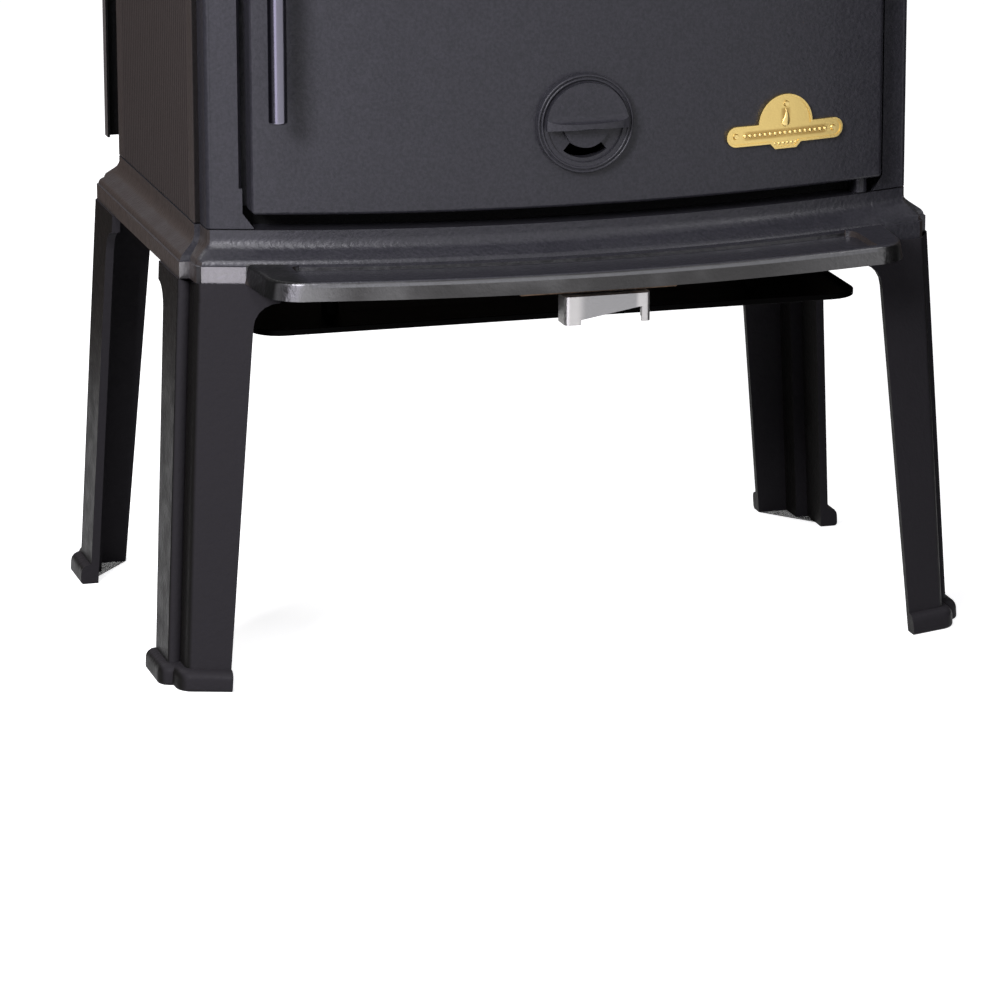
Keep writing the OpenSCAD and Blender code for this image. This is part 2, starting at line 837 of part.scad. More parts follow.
module flue_collar() {
    color("dimgray") placed()
        difference() {
            union() {
                translate([0, flue_y, whole_h])
                    cylinder(d = flue_d + 15, h = flue_h);
                translate([0, flue_y, whole_h])
                    cylinder(r = flue_flange_r, h = 8);
            }
            translate([0, flue_y, whole_h - 1])
                cylinder(d = flue_d, h = flue_h + 2);
            at_flue_bolts()
                translate([0, 0, -1])
                    cylinder(d = stud_d + clear, h = 10);
        }
}

module flue_screws() {
    color("gray") placed()
        at_flue_bolts()
            translate([0, 0, 8])
                mirror([0, 0, 1])
                    bolt(stud_d, 8 + slab_t - 3, 4, 10);
}

// Rear heat shield

rear_shield_w = half_w + 2;
rear_shield_low = 9;
module rear_heat_shield() {
    color("darkslategray") placed()
        difference() {
            union() {
                translate([-rear_shield_w, rear_y + rear_shield_gap, body_z + rear_shield_low])
                    cube([2 * rear_shield_w, sheet_t, body_h - 2 * rear_shield_low]);
                for (x = [-rear_shield_w, rear_shield_w - sheet_t])
                    translate([x, rear_y + rear_shield_gap - 10, body_z + rear_shield_low])
                        cube([sheet_t, 11, body_h - 2 * rear_shield_low]);
            }
            at_rear()
                translate([0, 0, rear_shield_gap - 1])
                    cylinder(d = stud_d + clear, h = sheet_t + 2);
        }
}

module rear_spacers() {
    color("gray") placed()
        at_rear()
            tube(2.4 * stud_d, stud_d + clear, rear_shield_gap);
}

module rear_screws() {
    color("gray") placed()
        at_rear()
            translate([0, 0, rear_shield_gap + sheet_t])
                mirror([0, 0, 1])
                    bolt(stud_d, rear_shield_gap + sheet_t + wall - 3, 4, 10);
}

// Tie rods

tie_nut_h = 6.5;
module tie_rods() {
    color("gray") placed()
        at_corners(tie_x, tie_y, tie_y)
            translate([0, 0, body_z - slab_t - tie_nut_h - 4])
                cylinder(d = tie_d, h = body_h + slab_t + tie_nut_h + base_h - slab_t - 4);
}

module tie_nuts() {
    color("gray") placed()
        at_corners(tie_x, tie_y, tie_y)
            translate([0, 0, body_z - slab_t - tie_nut_h])
                difference() {
                    cylinder(d = 13 / cos(30), h = tie_nut_h, $fn = 6);
                    translate([0, 0, -1])
                        cylinder(d = tie_d, h = tie_nut_h + 2);
                }
}

// Firebox

floor_t = 8;
floor_z = body_z + floor_rise;
floor_x = half_w - 38;
fire_front = half_d - 6;
fire_rear = half_d - 14;
chamber_front = half_d + 22;
chamber_floor = mouth_z0;
chamber_t = 5;
module ash_chamber() {
    color("dimgray") placed()
        difference() {
            translate([-ash_half_w - chamber_t, -chamber_front, body_z])
                cube([2 * (ash_half_w + chamber_t), chamber_front + fire_rear, floor_rise - floor_t]);
            translate([-ash_half_w, -chamber_front - 1, chamber_floor])
                cube([2 * ash_half_w, chamber_front + fire_rear - chamber_t + 1, floor_rise]);
            translate([-ash_half_w, -chamber_front - 1, body_z - 1])
                cube([2 * ash_half_w, chamber_front + fire_rear + 2, chamber_floor - chamber_t - body_z + 1]);
        }
}

pan_half_w = ash_half_w - 6;
pan_rear = fire_rear - chamber_t - 10;
module ash_pan() {
    color("silver") placed()
        difference() {
            union() {
                translate([-pan_half_w, -chamber_front, chamber_floor])
                    cube([2 * pan_half_w, chamber_front + pan_rear, ash_pan_h]);
                translate([-45, -chamber_front - 12, chamber_floor + ash_pan_h / 2])
                    cube([90, 13, 3]);
            }
            translate([-pan_half_w + sheet_t, -chamber_front + sheet_t, chamber_floor + sheet_t])
                cube([2 * (pan_half_w - sheet_t), chamber_front + pan_rear - 2 * sheet_t, ash_pan_h]);
        }
}

grate_x = 110;
grate_rim_front = 43;
grate_rim_rear = 65;
grate_front = fire_front - grate_rim_front;
grate_rear = fire_rear - grate_rim_rear;
grate_lip = 8;
grate_play = 0.5;
grate_proud = 3;
module firebox_floor() {
    color("dimgray") placed()
        difference() {
            translate([-floor_x, -fire_front, floor_z - floor_t])
                cube([2 * floor_x, fire_front + fire_rear, floor_t]);
            translate([-grate_x, -grate_front, floor_z - floor_t - 1])
                cube([2 * grate_x, grate_front + grate_rear, floor_t + 2]);
            translate([-grate_x - grate_lip, -grate_front - grate_lip, floor_z - floor_t / 2])
                cube([2 * (grate_x + grate_lip), grate_front + grate_rear + 2 * grate_lip, floor_t]);
        }
}

grate_slots = 11;
grate_pitch = 2 * grate_x / grate_slots;
module grate() {
    color("dimgray") placed()
        difference() {
            translate([-grate_x - grate_lip + grate_play, -grate_front - grate_lip + grate_play,
                floor_z - floor_t / 2])
                cube([2 * (grate_x + grate_lip - grate_play),
                    grate_front + grate_rear + 2 * (grate_lip - grate_play), floor_t / 2 + grate_proud]);
            for (i = [0:grate_slots - 1])
                translate([-grate_x + (i + 0.25) * grate_pitch, -grate_front + grate_lip, floor_z - floor_t])
                    cube([grate_pitch / 2, grate_front + grate_rear - 2 * grate_lip, 2 * floor_t]);
        }
}

module side_brick() {
    translate([floor_x - brick_t, -fire_front, floor_z])
        cube([brick_t, fire_front + fire_rear, brick_h]);
}

module firebrick_left() {
    color("tan") placed()
        mirror([1, 0, 0])
            side_brick();
}

module firebrick_right() {
    color("tan") placed()
        side_brick();
}

module firebrick_rear() {
    color("tan") placed()
        translate([-floor_x + brick_t + 0.5, fire_rear - brick_t, floor_z])
            cube([2 * (floor_x - brick_t) - 1, brick_t, brick_h]);
}

baffle_t = 12;
baffle_front = 70;
module baffle() {
    color("dimgray") placed()
        translate([-floor_x, -baffle_front, floor_z + brick_h])
            cube([2 * floor_x, baffle_front + fire_rear, baffle_t]);
}

// Door

door_r = bow_r + door_proud;
door_back = bow_r - 5;
skin_t = 8;
window_z1 = door_z1 - 54;
window_z0 = window_z1 - window_h;
door_face_y = bow_cy - door_r;
door_corner_r = 5;
skin_x = seal_x - 14;
skin_in = 24;

// Plan of the door with its two front edges rounded
edge_steps = 5;
function door_side(x, r) = let (xc = x - r, yc = bow_y(xc, door_r - r),
        slope = atan2(yc - bow_cy, xc)) concat([[xc, yc] + half_w * [cos(slope), sin(slope)] / 4],
    turn([xc, yc], r, slope, 0, edge_steps), [[x, -0.7 * half_d]]);
module door_plan() {
    polygon(concat(door_side(door_right, door_hinge_edge_r), flip(door_side(door_left, door_edge_r))));
}

module door_blank() {
    intersection() {
        translate([0, bow_cy, 0])
            rotate([0, 0, -125])
                rotate_extrude(angle = 70, $fn = 360)
                    polygon(concat([[door_back, door_z1], [door_back, door_z0]],
                        turn([door_r - door_edge_r, door_z0 + door_edge_r], door_edge_r, -90, 0, edge_steps),
                        turn([door_r - door_edge_r, door_z1 - door_edge_r], door_edge_r, 0, 90, edge_steps)));
        translate([0, 0, door_z0 - 1])
            linear_extrude(door_z1 - door_z0 + 2)
                door_plan();
        through(-door_left, door_right, door_z0, door_z1, door_corner_r);
    }
}

// Point on a bowed surface, facing outwards
module radial(x, z, r) {
    translate([0, bow_cy, z])
        rotate([0, 0, asin(x / r)])
            translate([0, -r, 0])
                rotate([90, 0, 0])
                    children();
}

hinge_boss_h = 30;
valve_z = body_z + valve_rise;
valve_pad = 2;
valve_hole_r = 30;
handle_x = door_left - 12.8;
handle_z = body_z + 0.6025 * body_h;
clip_x = 0.67 * window_half_w * [-1, 0, 1];
clip_lap = 8;
clip_w = 18;
glass_lap = 12;
clip_screw_d = 5;
module at_clips() {
    for (x = clip_x) {
        radial(x, window_z1 + glass_lap + clip_lap, door_r - skin_t)
            children();
        radial(x, window_z0 - glass_lap - clip_lap, door_r - skin_t)
            mirror([0, 1, 0])
                children();
    }
}

badge_x = door_half_w - 90.9;
badge_z = body_z + 61.7;
rivet_d = 3.6;
badge_rivet_at = [[-45.2, 0.3], [43.4, -0.1], [0, 23.8]];
module door() {
    color("dimgray") placed()
        difference() {
            union() {
                difference() {
                    door_blank();
                    intersection() {
                        bow_band(door_back - 1, door_r - skin_t, door_z0, door_z1);
                        through(-skin_x, skin_x + 2 * door_offset, door_z0 + skin_in, door_z1 - skin_in, 15);
                    }
                }
                intersection() {
                    translate([0, door_face_y - valve_pad, valve_z])
                        rotate([-90, 0, 0])
                            cylinder(r = valve_r + 0.5, h = valve_pad + skin_t);
                    bow_band(door_r - skin_t / 2, door_r + 9, door_z0, door_z1);
                }
                for (z = [door_z0, door_z1 - hinge_boss_h])
                    translate([hinge_x, hinge_y, z])
                        cylinder(d = 2 * hinge_pin_d, h = hinge_boss_h);
                at_handle(bow_y(handle_x, door_back) - 4)
                    cylinder(d = spindle_d + 6, h = keeper_y + keeper_t - bow_y(handle_x, door_back) + 4);
            }
            through(-window_half_w, window_half_w, window_z0, window_z1, 20);
            seal_ring(door_back - 1, door_back + 4, 0);
            for (z = [door_z0 - 1, door_z1 - hinge_boss_h + 1])
                translate([hinge_x, hinge_y, z])
                    cylinder(d = hinge_pin_d + 2 * pin_clear, h = hinge_boss_h);
            translate([0, door_face_y - 20, valve_z])
                rotate([-90, 0, 0])
                    cylinder(r = valve_hole_r, h = 60);
            translate([-handle_x, door_face_y - 20, handle_z])
                rotate([-90, 0, 0])
                    cylinder(d = spindle_d + 2 * pin_clear, h = 100);
            at_clips()
                translate([0, 0, -1])
                    cylinder(d = clip_screw_d, h = 6);
            for (q = badge_rivet_at)
                radial(badge_x + q[0], badge_z + q[1], door_r)
                    translate([0, 0, -skin_t - 2])
                        cylinder(d = rivet_d, h = skin_t + 4);
        }
}

module door_glass() {
    color("lightblue") placed()
        intersection() {
            bow_band(door_r - skin_t - glass_t, door_r - skin_t, body_z, top_z);
            through(-window_half_w - glass_lap, window_half_w + glass_lap, window_z0 - glass_lap,
                window_z1 + glass_lap, 24);
        }
}

// Clips that hold the glass from behind
clip_t = 2;
clip_reach = 15;
clip_foot = 7.5;
module clip_band(r_in, r_out, low, high) {
    intersection() {
        bow_band(r_in, r_out, body_z, top_z);
        union() {
            at_clips()
                translate([-clip_w / 2, low, -clip_w])
                    cube([clip_w, high - low, 2 * clip_w]);
        }
    }
}

module glass_clips() {
    color("gray") placed()
        difference() {
            union() {
                clip_band(door_r - skin_t - glass_t - clip_t, door_r - skin_t - glass_t - 0.1, -clip_reach,
                    clip_foot);
                clip_band(door_r - skin_t - glass_t - 0.2, door_r - skin_t - 0.1, -clip_foot, clip_foot);
            }
            at_clips()
                translate([0, 0, -clip_w])
                    cylinder(d = clip_screw_d + clear, h = 1.2 * clip_w);
        }
}

module clip_screws() {
    color("gray") placed()
        at_clips()
            translate([0, 0, -glass_t - clip_t - clear])
                bolt(clip_screw_d, clip_t + glass_t + 4.5, 0.6 * clip_screw_d, 1.6 * clip_screw_d);
}

module door_rope() {
    color("gainsboro") placed()
        seal_ring(seal_face + clear, door_back + 4, clear);
}

module hinge_pin_lower() {
    color("gray") placed()
        translate([hinge_x, hinge_y, body_z + 1])
            cylinder(d = hinge_pin_d, h = door_drop + hinge_boss_h - 6);
}

module hinge_pin_upper() {
    color("gray") placed()
        translate([hinge_x, hinge_y, door_z1 - hinge_boss_h + 5])
            cylinder(d = hinge_pin_d, h = door_drop + hinge_boss_h - 6);
}

// Handle and latch

rod_y = bow_y(handle_x, door_r) - rod_stand;
keeper_t = 4;
keeper_h = 24;
keeper_reach = 2.5;
keeper_y = bow_y(door_left, door_back) + 1;
tongue_y = keeper_y + keeper_t + 1;
tongue_t = 6;
tongue_w = 10;
tongue_reach = 16.8;
module at_handle(y) {
    translate([-handle_x, y, handle_z])
        rotate([-90, 0, 0])
            children();
}

rod_end_r = 2;
module door_handle() {
    color("gray") placed() {
        translate([-handle_x, rod_y, handle_z - rod_drop])
            rotate_extrude()
                polygon(concat([[0, rod_drop + rod_rise], [0, 0]],
                    turn([rod_d / 2 - rod_end_r, rod_end_r], rod_end_r, -90, 0, 4),
                    turn([rod_d / 2 - rod_end_r, rod_drop + rod_rise - rod_end_r], rod_end_r, 0, 90, 4)));
        at_handle(rod_y)
            cylinder(d = spindle_d, h = tongue_y + tongue_t + 1 - rod_y);
    }
}

module latch_tongue() {
    color("gray") placed()
        at_handle(tongue_y)
            difference() {
                union() {
                    cylinder(d = spindle_d + 6, h = tongue_t);
                    translate([-tongue_w / 2, -tongue_reach, 0])
                        cube([tongue_w, tongue_reach, tongue_t]);
                }
                translate([0, 0, -1])
                    cylinder(d = spindle_d, h = tongue_t + 2);
            }
}

module latch_keeper() {
    color("gray") placed()
        translate([-open_left, keeper_y, handle_z - keeper_h / 2])
            cube([open_left - door_left + keeper_reach, keeper_t, keeper_h]);
}

// Air valve in the door

valve_y = door_face_y - valve_pad;
valve_bed = 3;
bowl_r = hub_r + 12.5;
bowl_floor = 0.8;
slot_angle = 40;
hub_out = 6;
flap_gap = 0.5;
flap_t = 3;
flap_r = valve_r - 2 * bead_w - 1.4;
flap_face = hub_out + flap_gap + flap_t;
pivot_r = 4;
nut_w = 17;
nut_h = 8;
module at_valve() {
    translate([0, valve_y, valve_z])
        rotate([90, 0, 0])
            children();
}

module valve_housing() {
    color("dimgray") placed()
        at_valve()
            difference() {
                union() {
                    cylinder(r = valve_r, h = valve_bed);
                    for (r = [valve_r - bead_w / 2, valve_r - 1.75 * bead_w])
                        translate([0, 0, valve_bed])
                            rotate_extrude()
                                translate([r, 0])
                                    circle(d = bead_w, $fn = 24);
                    translate([0, 0, -skin_t])
                        cylinder(r = hub_r - 6, h = skin_t + 1);
                    cylinder(r = hub_r, h = hub_out);
                    translate([0, 0, -skin_t - 1])
                        tube(2 * valve_hole_r - 2 * clear, 2 * valve_hole_r - 6, skin_t + 2);
                }
                translate([0, 0, bowl_floor])
                    tube(2 * bowl_r, 2 * hub_r, valve_bed + 1);
                translate([0, 0, -far])
                    cylinder(r = pivot_r + pin_clear, h = 2 * far);
                intersection() {
                    translate([0, 0, -2 * skin_t])
                        tube(2 * valve_hole_r - 4, 2 * hub_r + 1.2, 4 * skin_t);
                    translate([0, 0, -2 * skin_t])
                        linear_extrude(4 * skin_t)
                            polygon(valve_r * [[0, 0], [sin(slot_angle), -cos(slot_angle)], [0, -1.5],
                                [-sin(slot_angle), -cos(slot_angle)]]);
                }
            }
}

// Side view of the flap: its face curves out into a grip, as points of height and depth
grip_half = 2.4;
flap_side = concat([[0, -grip_half - 1], [0, flap_r + 1], [flap_face, flap_r + 1]],
    [for (i = [0:6]) let (a = 15 * i)
        [flap_face + (grip_out - 2) * (1 - cos(a)), grip_half + (grip_out - 2) * (1 - sin(a))]],
    turn([flap_face + grip_out - 1.2, grip_half - 1.2], 1.2, 90, 0, 3),
    turn([flap_face + grip_out - 1.2, 1.2 - grip_half], 1.2, 0, -90, 3),
    [[flap_face, -grip_half - 1]]);
grip_r = (flap_r * flap_r + (grip_out - 1) * (grip_out - 1)) / (2 * (grip_out - 1));
module valve_flap() {
    color("dimgray") placed()
        at_valve() {
            intersection() {
                translate([0, 0, hub_out + flap_gap])
                    cylinder(r = flap_r, h = grip_out + flap_t);
                translate([flap_r + 1, 0, 0])
                    rotate([0, -90, 0])
                        linear_extrude(2 * flap_r + 2)
                            polygon(flap_side);
                translate([0, 0, flap_face + grip_out - grip_r])
                    rotate([90, 0, 0])
                        cylinder(r = grip_r, h = 4 * flap_r, center = true);
            }
            translate([0, 0, -skin_t - 1.5 * nut_h])
                cylinder(r = pivot_r, h = skin_t + 1.5 * nut_h + hub_out + flap_gap + 1);
        }
}

module valve_nut() {
    color("gray") placed()
        at_valve()
            translate([0, 0, -skin_t - nut_h - 2])
                difference() {
                    cylinder(d = nut_w / cos(30), h = nut_h, $fn = 6);
                    translate([0, 0, -1])
                        cylinder(r = pivot_r, h = nut_h + 2);
                }
}

// Badge plate

module badge_shape(inset) {
    h = badge_h / 2 - inset;
    translate([-badge_w / 2 + badge_h / 2, -h])
        square([badge_w - badge_h, 2 * h]);
    for (x = [-badge_w / 2 + badge_h / 2, badge_w / 2 - badge_h / 2])
        translate([x, 0])
            circle(h);
    intersection() {
        translate([0, 7.3])
            circle(badge_dome_r - inset);
        translate([-badge_dome_r, 0])
            square([2 * badge_dome_r, 2 * badge_dome_r]);
    }
    polygon([[-15 + inset, -7 + inset], [-9.6 + inset / 2, -12.7 + inset], [9.6 - inset / 2, -12.7 + inset],
        [15 - inset, -7 + inset]]);
}

module badge() {
    color("gold") placed()
        difference() {
            intersection() {
                union() {
                    bow_band(door_r, door_r + badge_t, body_z, top_z);
                    difference() {
                        bow_band(door_r, door_r + badge_t + 0.8, body_z, top_z);
                        translate([badge_x, front_y + 200, badge_z])
                            rotate([90, 0, 0])
                                linear_extrude(400)
                                    badge_shape(1.8);
                    }
                }
                translate([badge_x, front_y + 200, badge_z])
                    rotate([90, 0, 0])
                        linear_extrude(400)
                            badge_shape(0);
            }
            for (q = badge_rivet_at)
                radial(badge_x + q[0], badge_z + q[1], door_r)
                    translate([0, 0, -1])
                        cylinder(d = rivet_d, h = badge_t + 4);
        }
}

module badge_rivets() {
    color("gold") placed()
        for (q = badge_rivet_at)
            radial(badge_x + q[0], badge_z + q[1], door_r) {
                translate([0, 0, -skin_t])
                    cylinder(d = rivet_d, h = skin_t + badge_t + 0.5);
                translate([0, 0, badge_t])
                    cylinder(r1 = 2.6, r2 = 1.8, h = 1.4);
            }
}

// Air slide under the lip

guide_drop = 2.5;
guide_z = leg_h - guide_drop;
guide_top = leg_h + lip_h - tray_deep - lip_wall;
guide_front = -lip_front - lip_wall - 3;
guide_d = 36;
guide_t = 2.5;
guide_lip = 8;
slide_half = 0.465 * lever_w;
guide_left = slide_half + slide_travel + 11;
guide_right = slide_half + slide_travel + 2;
module air_slide_guide() {
    guide_w = guide_left + guide_right;
    color("saddlebrown") placed()
        translate([-guide_left, -guide_front, guide_z])
            difference() {
                cube([guide_w, guide_d, guide_top - guide_z]);
                translate([-1, guide_t, guide_t])
                    cube([guide_w + 2, guide_d - 2 * guide_t, guide_top - guide_z - 2 * guide_t]);
                translate([-1, guide_lip, -1])
                    cube([guide_w + 2, guide_d - 2 * guide_lip, guide_t + 2]);
            }
}

// Bar that slides in the guide, with a foot under it that carries the lever
slide_bar_d = guide_d - 2 * guide_t - 2 * clear;
slide_bar_h = guide_top - guide_z - 2 * guide_t - 2 * clear;
slide_foot_half = slide_half - 5;
slide_foot_y = guide_lip + 0.5;
arm_t = 3;
arm_top = guide_z - 1;
module air_slide() {
    color("gray") placed() {
        translate([-slide_half, -guide_front + guide_t + clear, guide_z + guide_t + clear])
            cube([2 * slide_half, slide_bar_d, slide_bar_h]);
        translate([-slide_foot_half, -guide_front + slide_foot_y, arm_top])
            cube([2 * slide_foot_half, guide_d - 2 * slide_foot_y, guide_t + 2]);
    }
}

// Finger lever bent from sheet: a front with an arched lower edge, two short sides and an arm
lever_t = 3;
lever_d = 20;
lever_edge_r = 4.5;
lever_top = arm_top;
lever_low = lever_top - lever_h;
lever_half = lever_w / 2;
lever_back = lever_front + lever_d;
slide_foot_back = -guide_front + guide_d - slide_foot_y;
module lever_plan(g, y_back) {
    polygon(concat([[lever_half - g, y_back]],
        turn([lever_half - lever_edge_r, lever_front + lever_edge_r], lever_edge_r - g, 0, -90, 5),
        turn([lever_edge_r - lever_half, lever_front + lever_edge_r], lever_edge_r - g, -90, -180, 5),
        [[g - lever_half, y_back]]));
}

module air_lever() {
    color("silver") placed() {
        difference() {
            translate([0, 0, lever_low])
                linear_extrude(lever_h)
                    lever_plan(0, lever_back);
            translate([0, 0, lever_low - 1])
                linear_extrude(lever_h - arm_t + 1)
                    lever_plan(lever_t, lever_back + 1);
            translate([0, lever_front + lever_edge_r + 0.1, lever_low])
                rotate([90, 0, 0])
                    linear_extrude(lever_edge_r + 1)
                        polygon([[0.37 * lever_half - lever_half, -1], [0.37 * lever_half - lever_half, 4],
                            [0.72 * lever_half, 12], [lever_half - lever_edge_r - lever_t, 12],
                            [lever_half - lever_edge_r - lever_t, -1]]);
        }
        translate([-slide_foot_half, lever_back - 1, arm_top - arm_t])
            cube([2 * slide_foot_half, slide_foot_back - lever_back + 1, arm_t]);
    }
}

base();
leg_front_left();
leg_front_right();
leg_rear_left();
leg_rear_right();
leg_bolts();
bottom_heat_shield();
shield_spacers();
shield_screws();
side_panel_left();
side_panel_right();
front_frame();
rear_plate();
top_plate();
hotplate();
flue_collar();
flue_screws();
rear_heat_shield();
rear_spacers();
rear_screws();
tie_rods();
tie_nuts();
ash_chamber();
ash_pan();
firebox_floor();
grate();
firebrick_left();
firebrick_right();
firebrick_rear();
baffle();
door();
door_glass();
glass_clips();
clip_screws();
door_rope();
hinge_pin_lower();
hinge_pin_upper();
door_handle();
latch_tongue();
latch_keeper();
valve_housing();
valve_flap();
valve_nut();
badge();
badge_rivets();
air_slide_guide();
air_slide();
air_lever();
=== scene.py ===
# %% [markdown]
# A cast-iron wood stove seen from the front and a little above
#
# The stove is a bowed iron box on four splayed legs. Everything that has a size or that moves
# comes from the imported model, which is loaded here as a fixed frame. This script gives it the
# camera, the light and the finishes, and adds the small forms that are nicer to shape one by one.

import math

import bmesh
import bpy
from mathutils import Matrix, Vector


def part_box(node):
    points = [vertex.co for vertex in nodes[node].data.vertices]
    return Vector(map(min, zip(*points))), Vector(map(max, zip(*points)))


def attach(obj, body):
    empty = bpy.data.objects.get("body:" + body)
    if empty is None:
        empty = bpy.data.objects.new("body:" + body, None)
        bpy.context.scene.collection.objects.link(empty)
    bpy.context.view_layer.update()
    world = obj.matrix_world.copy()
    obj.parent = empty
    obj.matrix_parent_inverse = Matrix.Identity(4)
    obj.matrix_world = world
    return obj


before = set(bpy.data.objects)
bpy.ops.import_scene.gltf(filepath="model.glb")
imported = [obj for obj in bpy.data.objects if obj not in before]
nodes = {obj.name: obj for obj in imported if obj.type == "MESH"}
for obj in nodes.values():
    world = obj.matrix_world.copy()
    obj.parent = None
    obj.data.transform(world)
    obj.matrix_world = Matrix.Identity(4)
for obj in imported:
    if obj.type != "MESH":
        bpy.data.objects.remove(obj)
scene = bpy.context.scene
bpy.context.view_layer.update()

# %% [markdown]
# The camera comes first
#
# A product photo like this one is taken from far away with a long lens, so that upright edges
# stay almost upright. The camera stands about 4.7 m from the stove, a little to its left and
# above it, and looks down by 15 degrees. It could be aimed at an empty with a constraint, but
# three plain angles say more clearly what it does. The body's middle lies behind the middle of
# the whole box, so the camera's place is given from the body's middle.

# %% Camera
MM = 0.001
PHOTO_WIDTH = 984
FOCAL_PX = 5556.18
SENSOR_MM = 36.0
CLIP_END = 50
BODY_MIDDLE_Y = 46.1537 * MM
CAMERA_FROM_BODY = Vector((-1248.7063, -4402.5367, 1311.9135)) * MM
CAMERA_YAW = 0.2738
CAMERA_PITCH = 0.2610
CAMERA_ROLL = 0.0027


def camera_turn(yaw, pitch, roll):
    """Rotation of a camera that looks to +Y, turned by yaw to the right, pitch down and roll."""
    level = math.cos(pitch)
    forward = Vector((math.sin(yaw) * level, math.cos(yaw) * level, -math.sin(pitch)))
    right = Vector((math.cos(yaw), -math.sin(yaw), 0))
    up = right.cross(forward)
    side = right * math.cos(roll) - up * math.sin(roll)
    top = up * math.cos(roll) + right * math.sin(roll)
    return Matrix((side, top, -forward)).transposed()


camera_data = bpy.data.cameras.new("camera")
camera_data.sensor_width = SENSOR_MM
camera_data.lens = FOCAL_PX / PHOTO_WIDTH * SENSOR_MM
camera_data.clip_end = CLIP_END
camera = bpy.data.objects.new("camera", camera_data)
camera_place = Matrix.Translation(CAMERA_FROM_BODY + Vector((0, BODY_MIDDLE_Y, 0)))
camera_aim = camera_turn(CAMERA_YAW, CAMERA_PITCH, CAMERA_ROLL).to_4x4()
camera.matrix_world = camera_place @ camera_aim
scene.collection.objects.link(camera)
scene.camera = camera
print("lens", round(camera_data.lens, 2), "mm")

# %% [markdown]
# A white studio
#
# Behind the stove everything is white, but a world that lit the stove with all that white would
# turn its paint grey. So the world is white only where it is seen: by the camera, in a mirror or
# through a pane. The Light Path node tells such rays from the ones that carry light, and these
# find a world that is much dimmer.

# %% World
WORLD_LIGHT = 0.12
WORLD_TINT = (0.93, 0.94, 1.0)
WHITE = (1, 1, 1, 1)
scene.view_settings.view_transform = "Standard"


def seen_directly(tree):
    """A socket that is 1 for rays that show the ground: the camera's, a mirror's or a pane's."""
    path = tree.nodes.new("ShaderNodeLightPath")
    value = path.outputs["Is Camera Ray"]
    for kind in ("Is Glossy Ray", "Is Transmission Ray"):
        either = tree.nodes.new("ShaderNodeMath")
        either.operation = "MAXIMUM"
        tree.links.new(value, either.inputs[0])
        tree.links.new(path.outputs[kind], either.inputs[1])
        value = either.outputs[0]
    return value


world = bpy.data.worlds.new("studio")
scene.world = world
world.use_nodes = True
world_tree = world.node_tree
lit_by = world_tree.nodes["Background"]
lit_by.inputs["Color"].default_value = (*WORLD_TINT, 1)
lit_by.inputs["Strength"].default_value = WORLD_LIGHT
seen = world_tree.nodes.new("ShaderNodeBackground")
seen.inputs["Color"].default_value = WHITE
world_mix = world_tree.nodes.new("ShaderNodeMixShader")
world_end = world_tree.nodes["World Output"]
world_tree.links.new(seen_directly(world_tree), world_mix.inputs["Fac"])
world_tree.links.new(lit_by.outputs["Background"], world_mix.inputs[1])
world_tree.links.new(seen.outputs["Background"], world_mix.inputs[2])
world_tree.links.new(world_mix.outputs["Shader"], world_end.inputs["Surface"])
print("world light", WORLD_LIGHT)

# %% [markdown]
# A floor that keeps the shadow
#
# The photographer's floor is a white sheet. Pure emission would be white without any lamp, but it
# would also wipe out the stove's shadow. So the floor glows a little less than white, and pale
# paint on top of the glow takes the lamps' light and the shadow. As a light source it is dim, for
# the same reason as the world.

# %% Floor
FLOOR_HALF = 6.0
FLOOR_PAINT = (0.8, 0.8, 0.8, 1)
FLOOR_AS_LIGHT = (0.25, 0.25, 0.26, 1)
FLOOR_GLOW = 0.76
floor_mesh = bpy.data.meshes.new("floor")
floor_shape = bmesh.new()
bmesh.ops.create_grid(floor_shape, x_segments=1, y_segments=1, size=FLOOR_HALF)
floor_shape.to_mesh(floor_mesh)
floor_shape.free()
floor = bpy.data.objects.new("floor", floor_mesh)
scene.collection.objects.link(floor)

floor_material = bpy.data.materials.new("floor")
floor_material.use_nodes = True
floor_tree = floor_material.node_tree
floor_tree.nodes.remove(floor_tree.nodes["Principled BSDF"])
floor_dim = floor_tree.nodes.new("ShaderNodeBsdfDiffuse")
floor_dim.inputs["Color"].default_value = FLOOR_AS_LIGHT
floor_white = floor_tree.nodes.new("ShaderNodeBsdfDiffuse")
floor_white.inputs["Color"].default_value = FLOOR_PAINT
floor_glow = floor_tree.nodes.new("ShaderNodeEmission")
floor_glow.inputs["Strength"].default_value = FLOOR_GLOW
floor_sum = floor_tree.nodes.new("ShaderNodeAddShader")
floor_mix = floor_tree.nodes.new("ShaderNodeMixShader")
floor_end = floor_tree.nodes["Material Output"]
floor_tree.links.new(floor_white.outputs["BSDF"], floor_sum.inputs[0])
floor_tree.links.new(floor_glow.outputs["Emission"], floor_sum.inputs[1])
floor_tree.links.new(seen_directly(floor_tree), floor_mix.inputs["Fac"])
floor_tree.links.new(floor_dim.outputs["BSDF"], floor_mix.inputs[1])
floor_tree.links.new(floor_sum.outputs["Shader"], floor_mix.inputs[2])
floor_tree.links.new(floor_mix.outputs["Shader"], floor_end.inputs["Surface"])
floor.data.materials.append(floor_material)
print("floor", 2 * FLOOR_HALF, "m wide")

# %% [markdown]
# Cards for the reflections
#
# Seen at a low angle, even matt paint mirrors a white wall and turns grey. A product photographer
# hangs black cloths, called flags, at the sides and behind a dark object, and sets a white box
# beside the camera for one clean highlight. Here they are upright cards that only reflections
# can see: they cast no shadow, and the camera looks through them. The cloth behind is brown and
# gives the stove's flank its warm tone. The box draws the bright stripe on the round handle.

